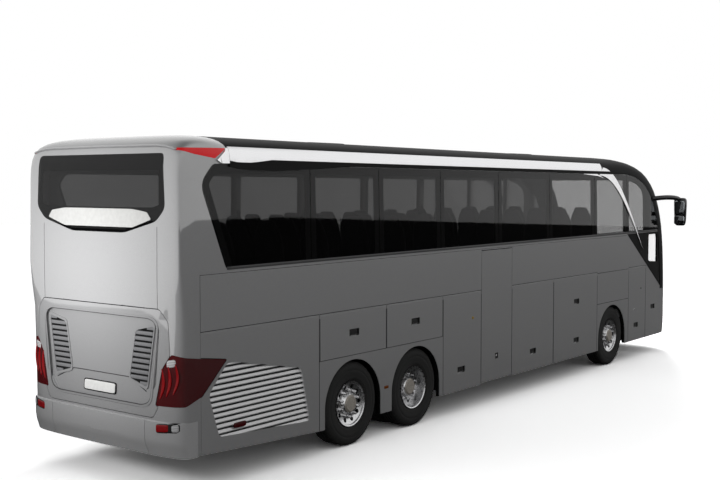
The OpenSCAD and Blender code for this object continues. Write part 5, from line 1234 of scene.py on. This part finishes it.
class COACH_OT_stage(bpy.types.Operator):
    """Makes the pale floor, the soft light and the camera of the photograph"""
    bl_idname = "coach.stage"
    bl_label = "Make the stage"

    # camera: focal length and sensor in millimetres, place, and angles in degrees
    focal_length, sensor, far_clip = 53.449, 36.0, 500.0
    eye, yaw, pitch = (-14.0085, -9.329, 3.244), 37.776, 3.065
    # half side of the floor, and its greys as lit, as seen and as mirrored
    reach, floor_lit, floor_seen, floor_mirrored = 61.0, 0.75, 3.7, 0.1
    # strength of the surround as a light and as seen
    surround_lit, surround_seen = 0.3, 1.0
    # lamps: name, place, aim, width, share of the key power
    lamps = (("tail_lamp_box", (-8.9, 0.5, 2.1), (-6.6, 0.1, 2.6), 1.6, 1.0),
             ("front_lamp_box", (17, 7, 9), (4, 0, 1.5), 6, 11.0))
    lamp_spread = 110

    def execute(self, context):
        scene = context.scene
        scene.view_settings.view_transform = "Standard"
        self.floor(scene)
        self.surround(scene)
        self.light(scene)
        camera = bpy.data.cameras.new("photo_camera")
        camera.sensor_width, camera.lens, camera.clip_end = self.sensor, self.focal_length, self.far_clip
        made = bpy.data.objects.new("photo_camera", camera)
        scene.collection.objects.link(made)
        yaw, pitch = math.radians(self.yaw), math.radians(self.pitch)
        ahead = Vector((math.cos(pitch) * math.cos(yaw), math.cos(pitch) * math.sin(yaw), -math.sin(pitch)))
        made.location = self.eye
        made.rotation_euler = ahead.to_track_quat("-Z", "Y").to_euler()
        scene.camera = made
        return {"FINISHED"}

    def seen(self, tree):
        """Light path node, and a node that is one for rays from the eye, also through glass, else nought."""
        path = node(tree, "ShaderNodeLightPath")
        rays = {0: (path, "Is Camera Ray"), 1: (path, "Is Transmission Ray")}
        return path, node(tree, "ShaderNodeMath", rays, operation="MAXIMUM")

    def floor(self, scene):
        """Flat floor, white to the eye and through glass, that keeps the shadow of the coach. Its edge is the
        horizon in the paint and the glass, which mirror it as dark ground."""
        mesh = bpy.data.meshes.new("studio_floor")
        corners = [(x * self.reach, y * self.reach, 0) for x, y in ((-1, -1), (1, -1), (1, 1), (-1, 1))]
        mesh.from_pydata(corners, [], [(0, 1, 2, 3)])
        made, tree, main = shader("pale_studio_floor", Roughness=1.0, Specular_IOR_Level=0.0)
        path, seen = self.seen(tree)
        greys = {0: (seen, 0), 6: grey(self.floor_lit), 7: grey(self.floor_seen)}
        bright = node(tree, "ShaderNodeMix", greys, data_type="RGBA")
        greys = {0: (path, "Is Glossy Ray"), 6: (bright, 2), 7: grey(self.floor_mirrored)}
        tone = node(tree, "ShaderNodeMix", greys, data_type="RGBA")
        tree.links.new(tone.outputs[2], main.inputs["Base Color"])
        mesh.materials.append(made)
        floor = bpy.data.objects.new("studio_floor", mesh)
        scene.collection.objects.link(floor)

    def surround(self, scene):
        """White surround to the eye, dimmer as a light; mirrored, it fades overhead as under a dark roof."""
        world = bpy.data.worlds.new("studio_surround")
        scene.world = world
        world.use_nodes = True
        tree = world.node_tree
        back = tree.nodes["Background"]
        path, seen = self.seen(tree)
        ray = node(tree, "ShaderNodeSeparateXYZ", {"Vector": (node(tree, "ShaderNodeTexCoord"), "Generated")})
        faded = node(tree, "ShaderNodeMapRange", {"Value": (ray, "Z")}, From_Min=0.6, From_Max=0.95,
                     To_Min=1.0, To_Max=0.2)
        levels = {0: (seen, 0), 2: self.surround_lit, 3: self.surround_seen}
        plain = node(tree, "ShaderNodeMix", levels, data_type="FLOAT")
        levels = {0: (path, "Is Glossy Ray"), 2: (plain, 0), 3: (faded, "Result")}
        level = node(tree, "ShaderNodeMix", levels, data_type="FLOAT")
        tree.links.new(level.outputs[0], back.inputs["Strength"])
        back.inputs["Color"].default_value = (1, 1, 1, 1)

    def light(self, scene):
        """Two soft lamps, one close behind the tail and one far in front, hidden to mirrors and the eye."""
        for name, spot, aim, size, share in self.lamps:
            lamp = bpy.data.lights.new(name, "AREA")
            lamp.shape, lamp.size, lamp.spread = "DISK", size, math.radians(self.lamp_spread)
            lamp.energy = scene.coach_sizes.key_power * share
            holder = bpy.data.objects.new(name, lamp)
            holder.location = spot
            holder.rotation_euler = (Vector(aim) - Vector(spot)).to_track_quat("-Z", "Y").to_euler()
            holder.visible_glossy, holder.visible_camera = False, False
            scene.collection.objects.link(holder)


class COACH_PT_panel(bpy.types.Panel):
    """Shows the coach's colours, sizes and steps in the sidebar"""
    bl_idname = "COACH_PT_panel"
    bl_label = "Touring coach"
    bl_space_type = "VIEW_3D"
    bl_region_type = "UI"
    bl_category = "Coach"

    def draw(self, context):
        for group in (context.scene.coach_colours, context.scene.coach_sizes):
            for key in group.bl_rna.properties.keys():
                if key not in ("rna_type", "name"):
                    self.layout.prop(group, key)
        for operator in OPERATORS:
            self.layout.operator(operator.bl_idname)


OPERATORS = (COACH_OT_finish, COACH_OT_skins, COACH_OT_tyres, COACH_OT_seats, COACH_OT_mirrors,
             COACH_OT_glazing, COACH_OT_lamps, COACH_OT_fittings, COACH_OT_stage)
CLASSES = (CoachColours, CoachSizes, *OPERATORS, COACH_PT_panel)


def register():
    """Registers the classes and hangs the colours and sizes on the scene."""
    for cls in CLASSES:
        bpy.utils.register_class(cls)
    bpy.types.Scene.coach_colours = PointerProperty(type=CoachColours)
    bpy.types.Scene.coach_sizes = PointerProperty(type=CoachSizes)


def unregister():
    """Takes away what register has added."""
    del bpy.types.Scene.coach_colours
    del bpy.types.Scene.coach_sizes
    for cls in reversed(CLASSES):
        bpy.utils.unregister_class(cls)


def main():
    """Runs all the steps in order."""
    register()
    for operator in OPERATORS:
        group, call = operator.bl_idname.split(".")
        getattr(getattr(bpy.ops, group), call)()
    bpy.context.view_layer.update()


if __name__ == "__main__":
    main()
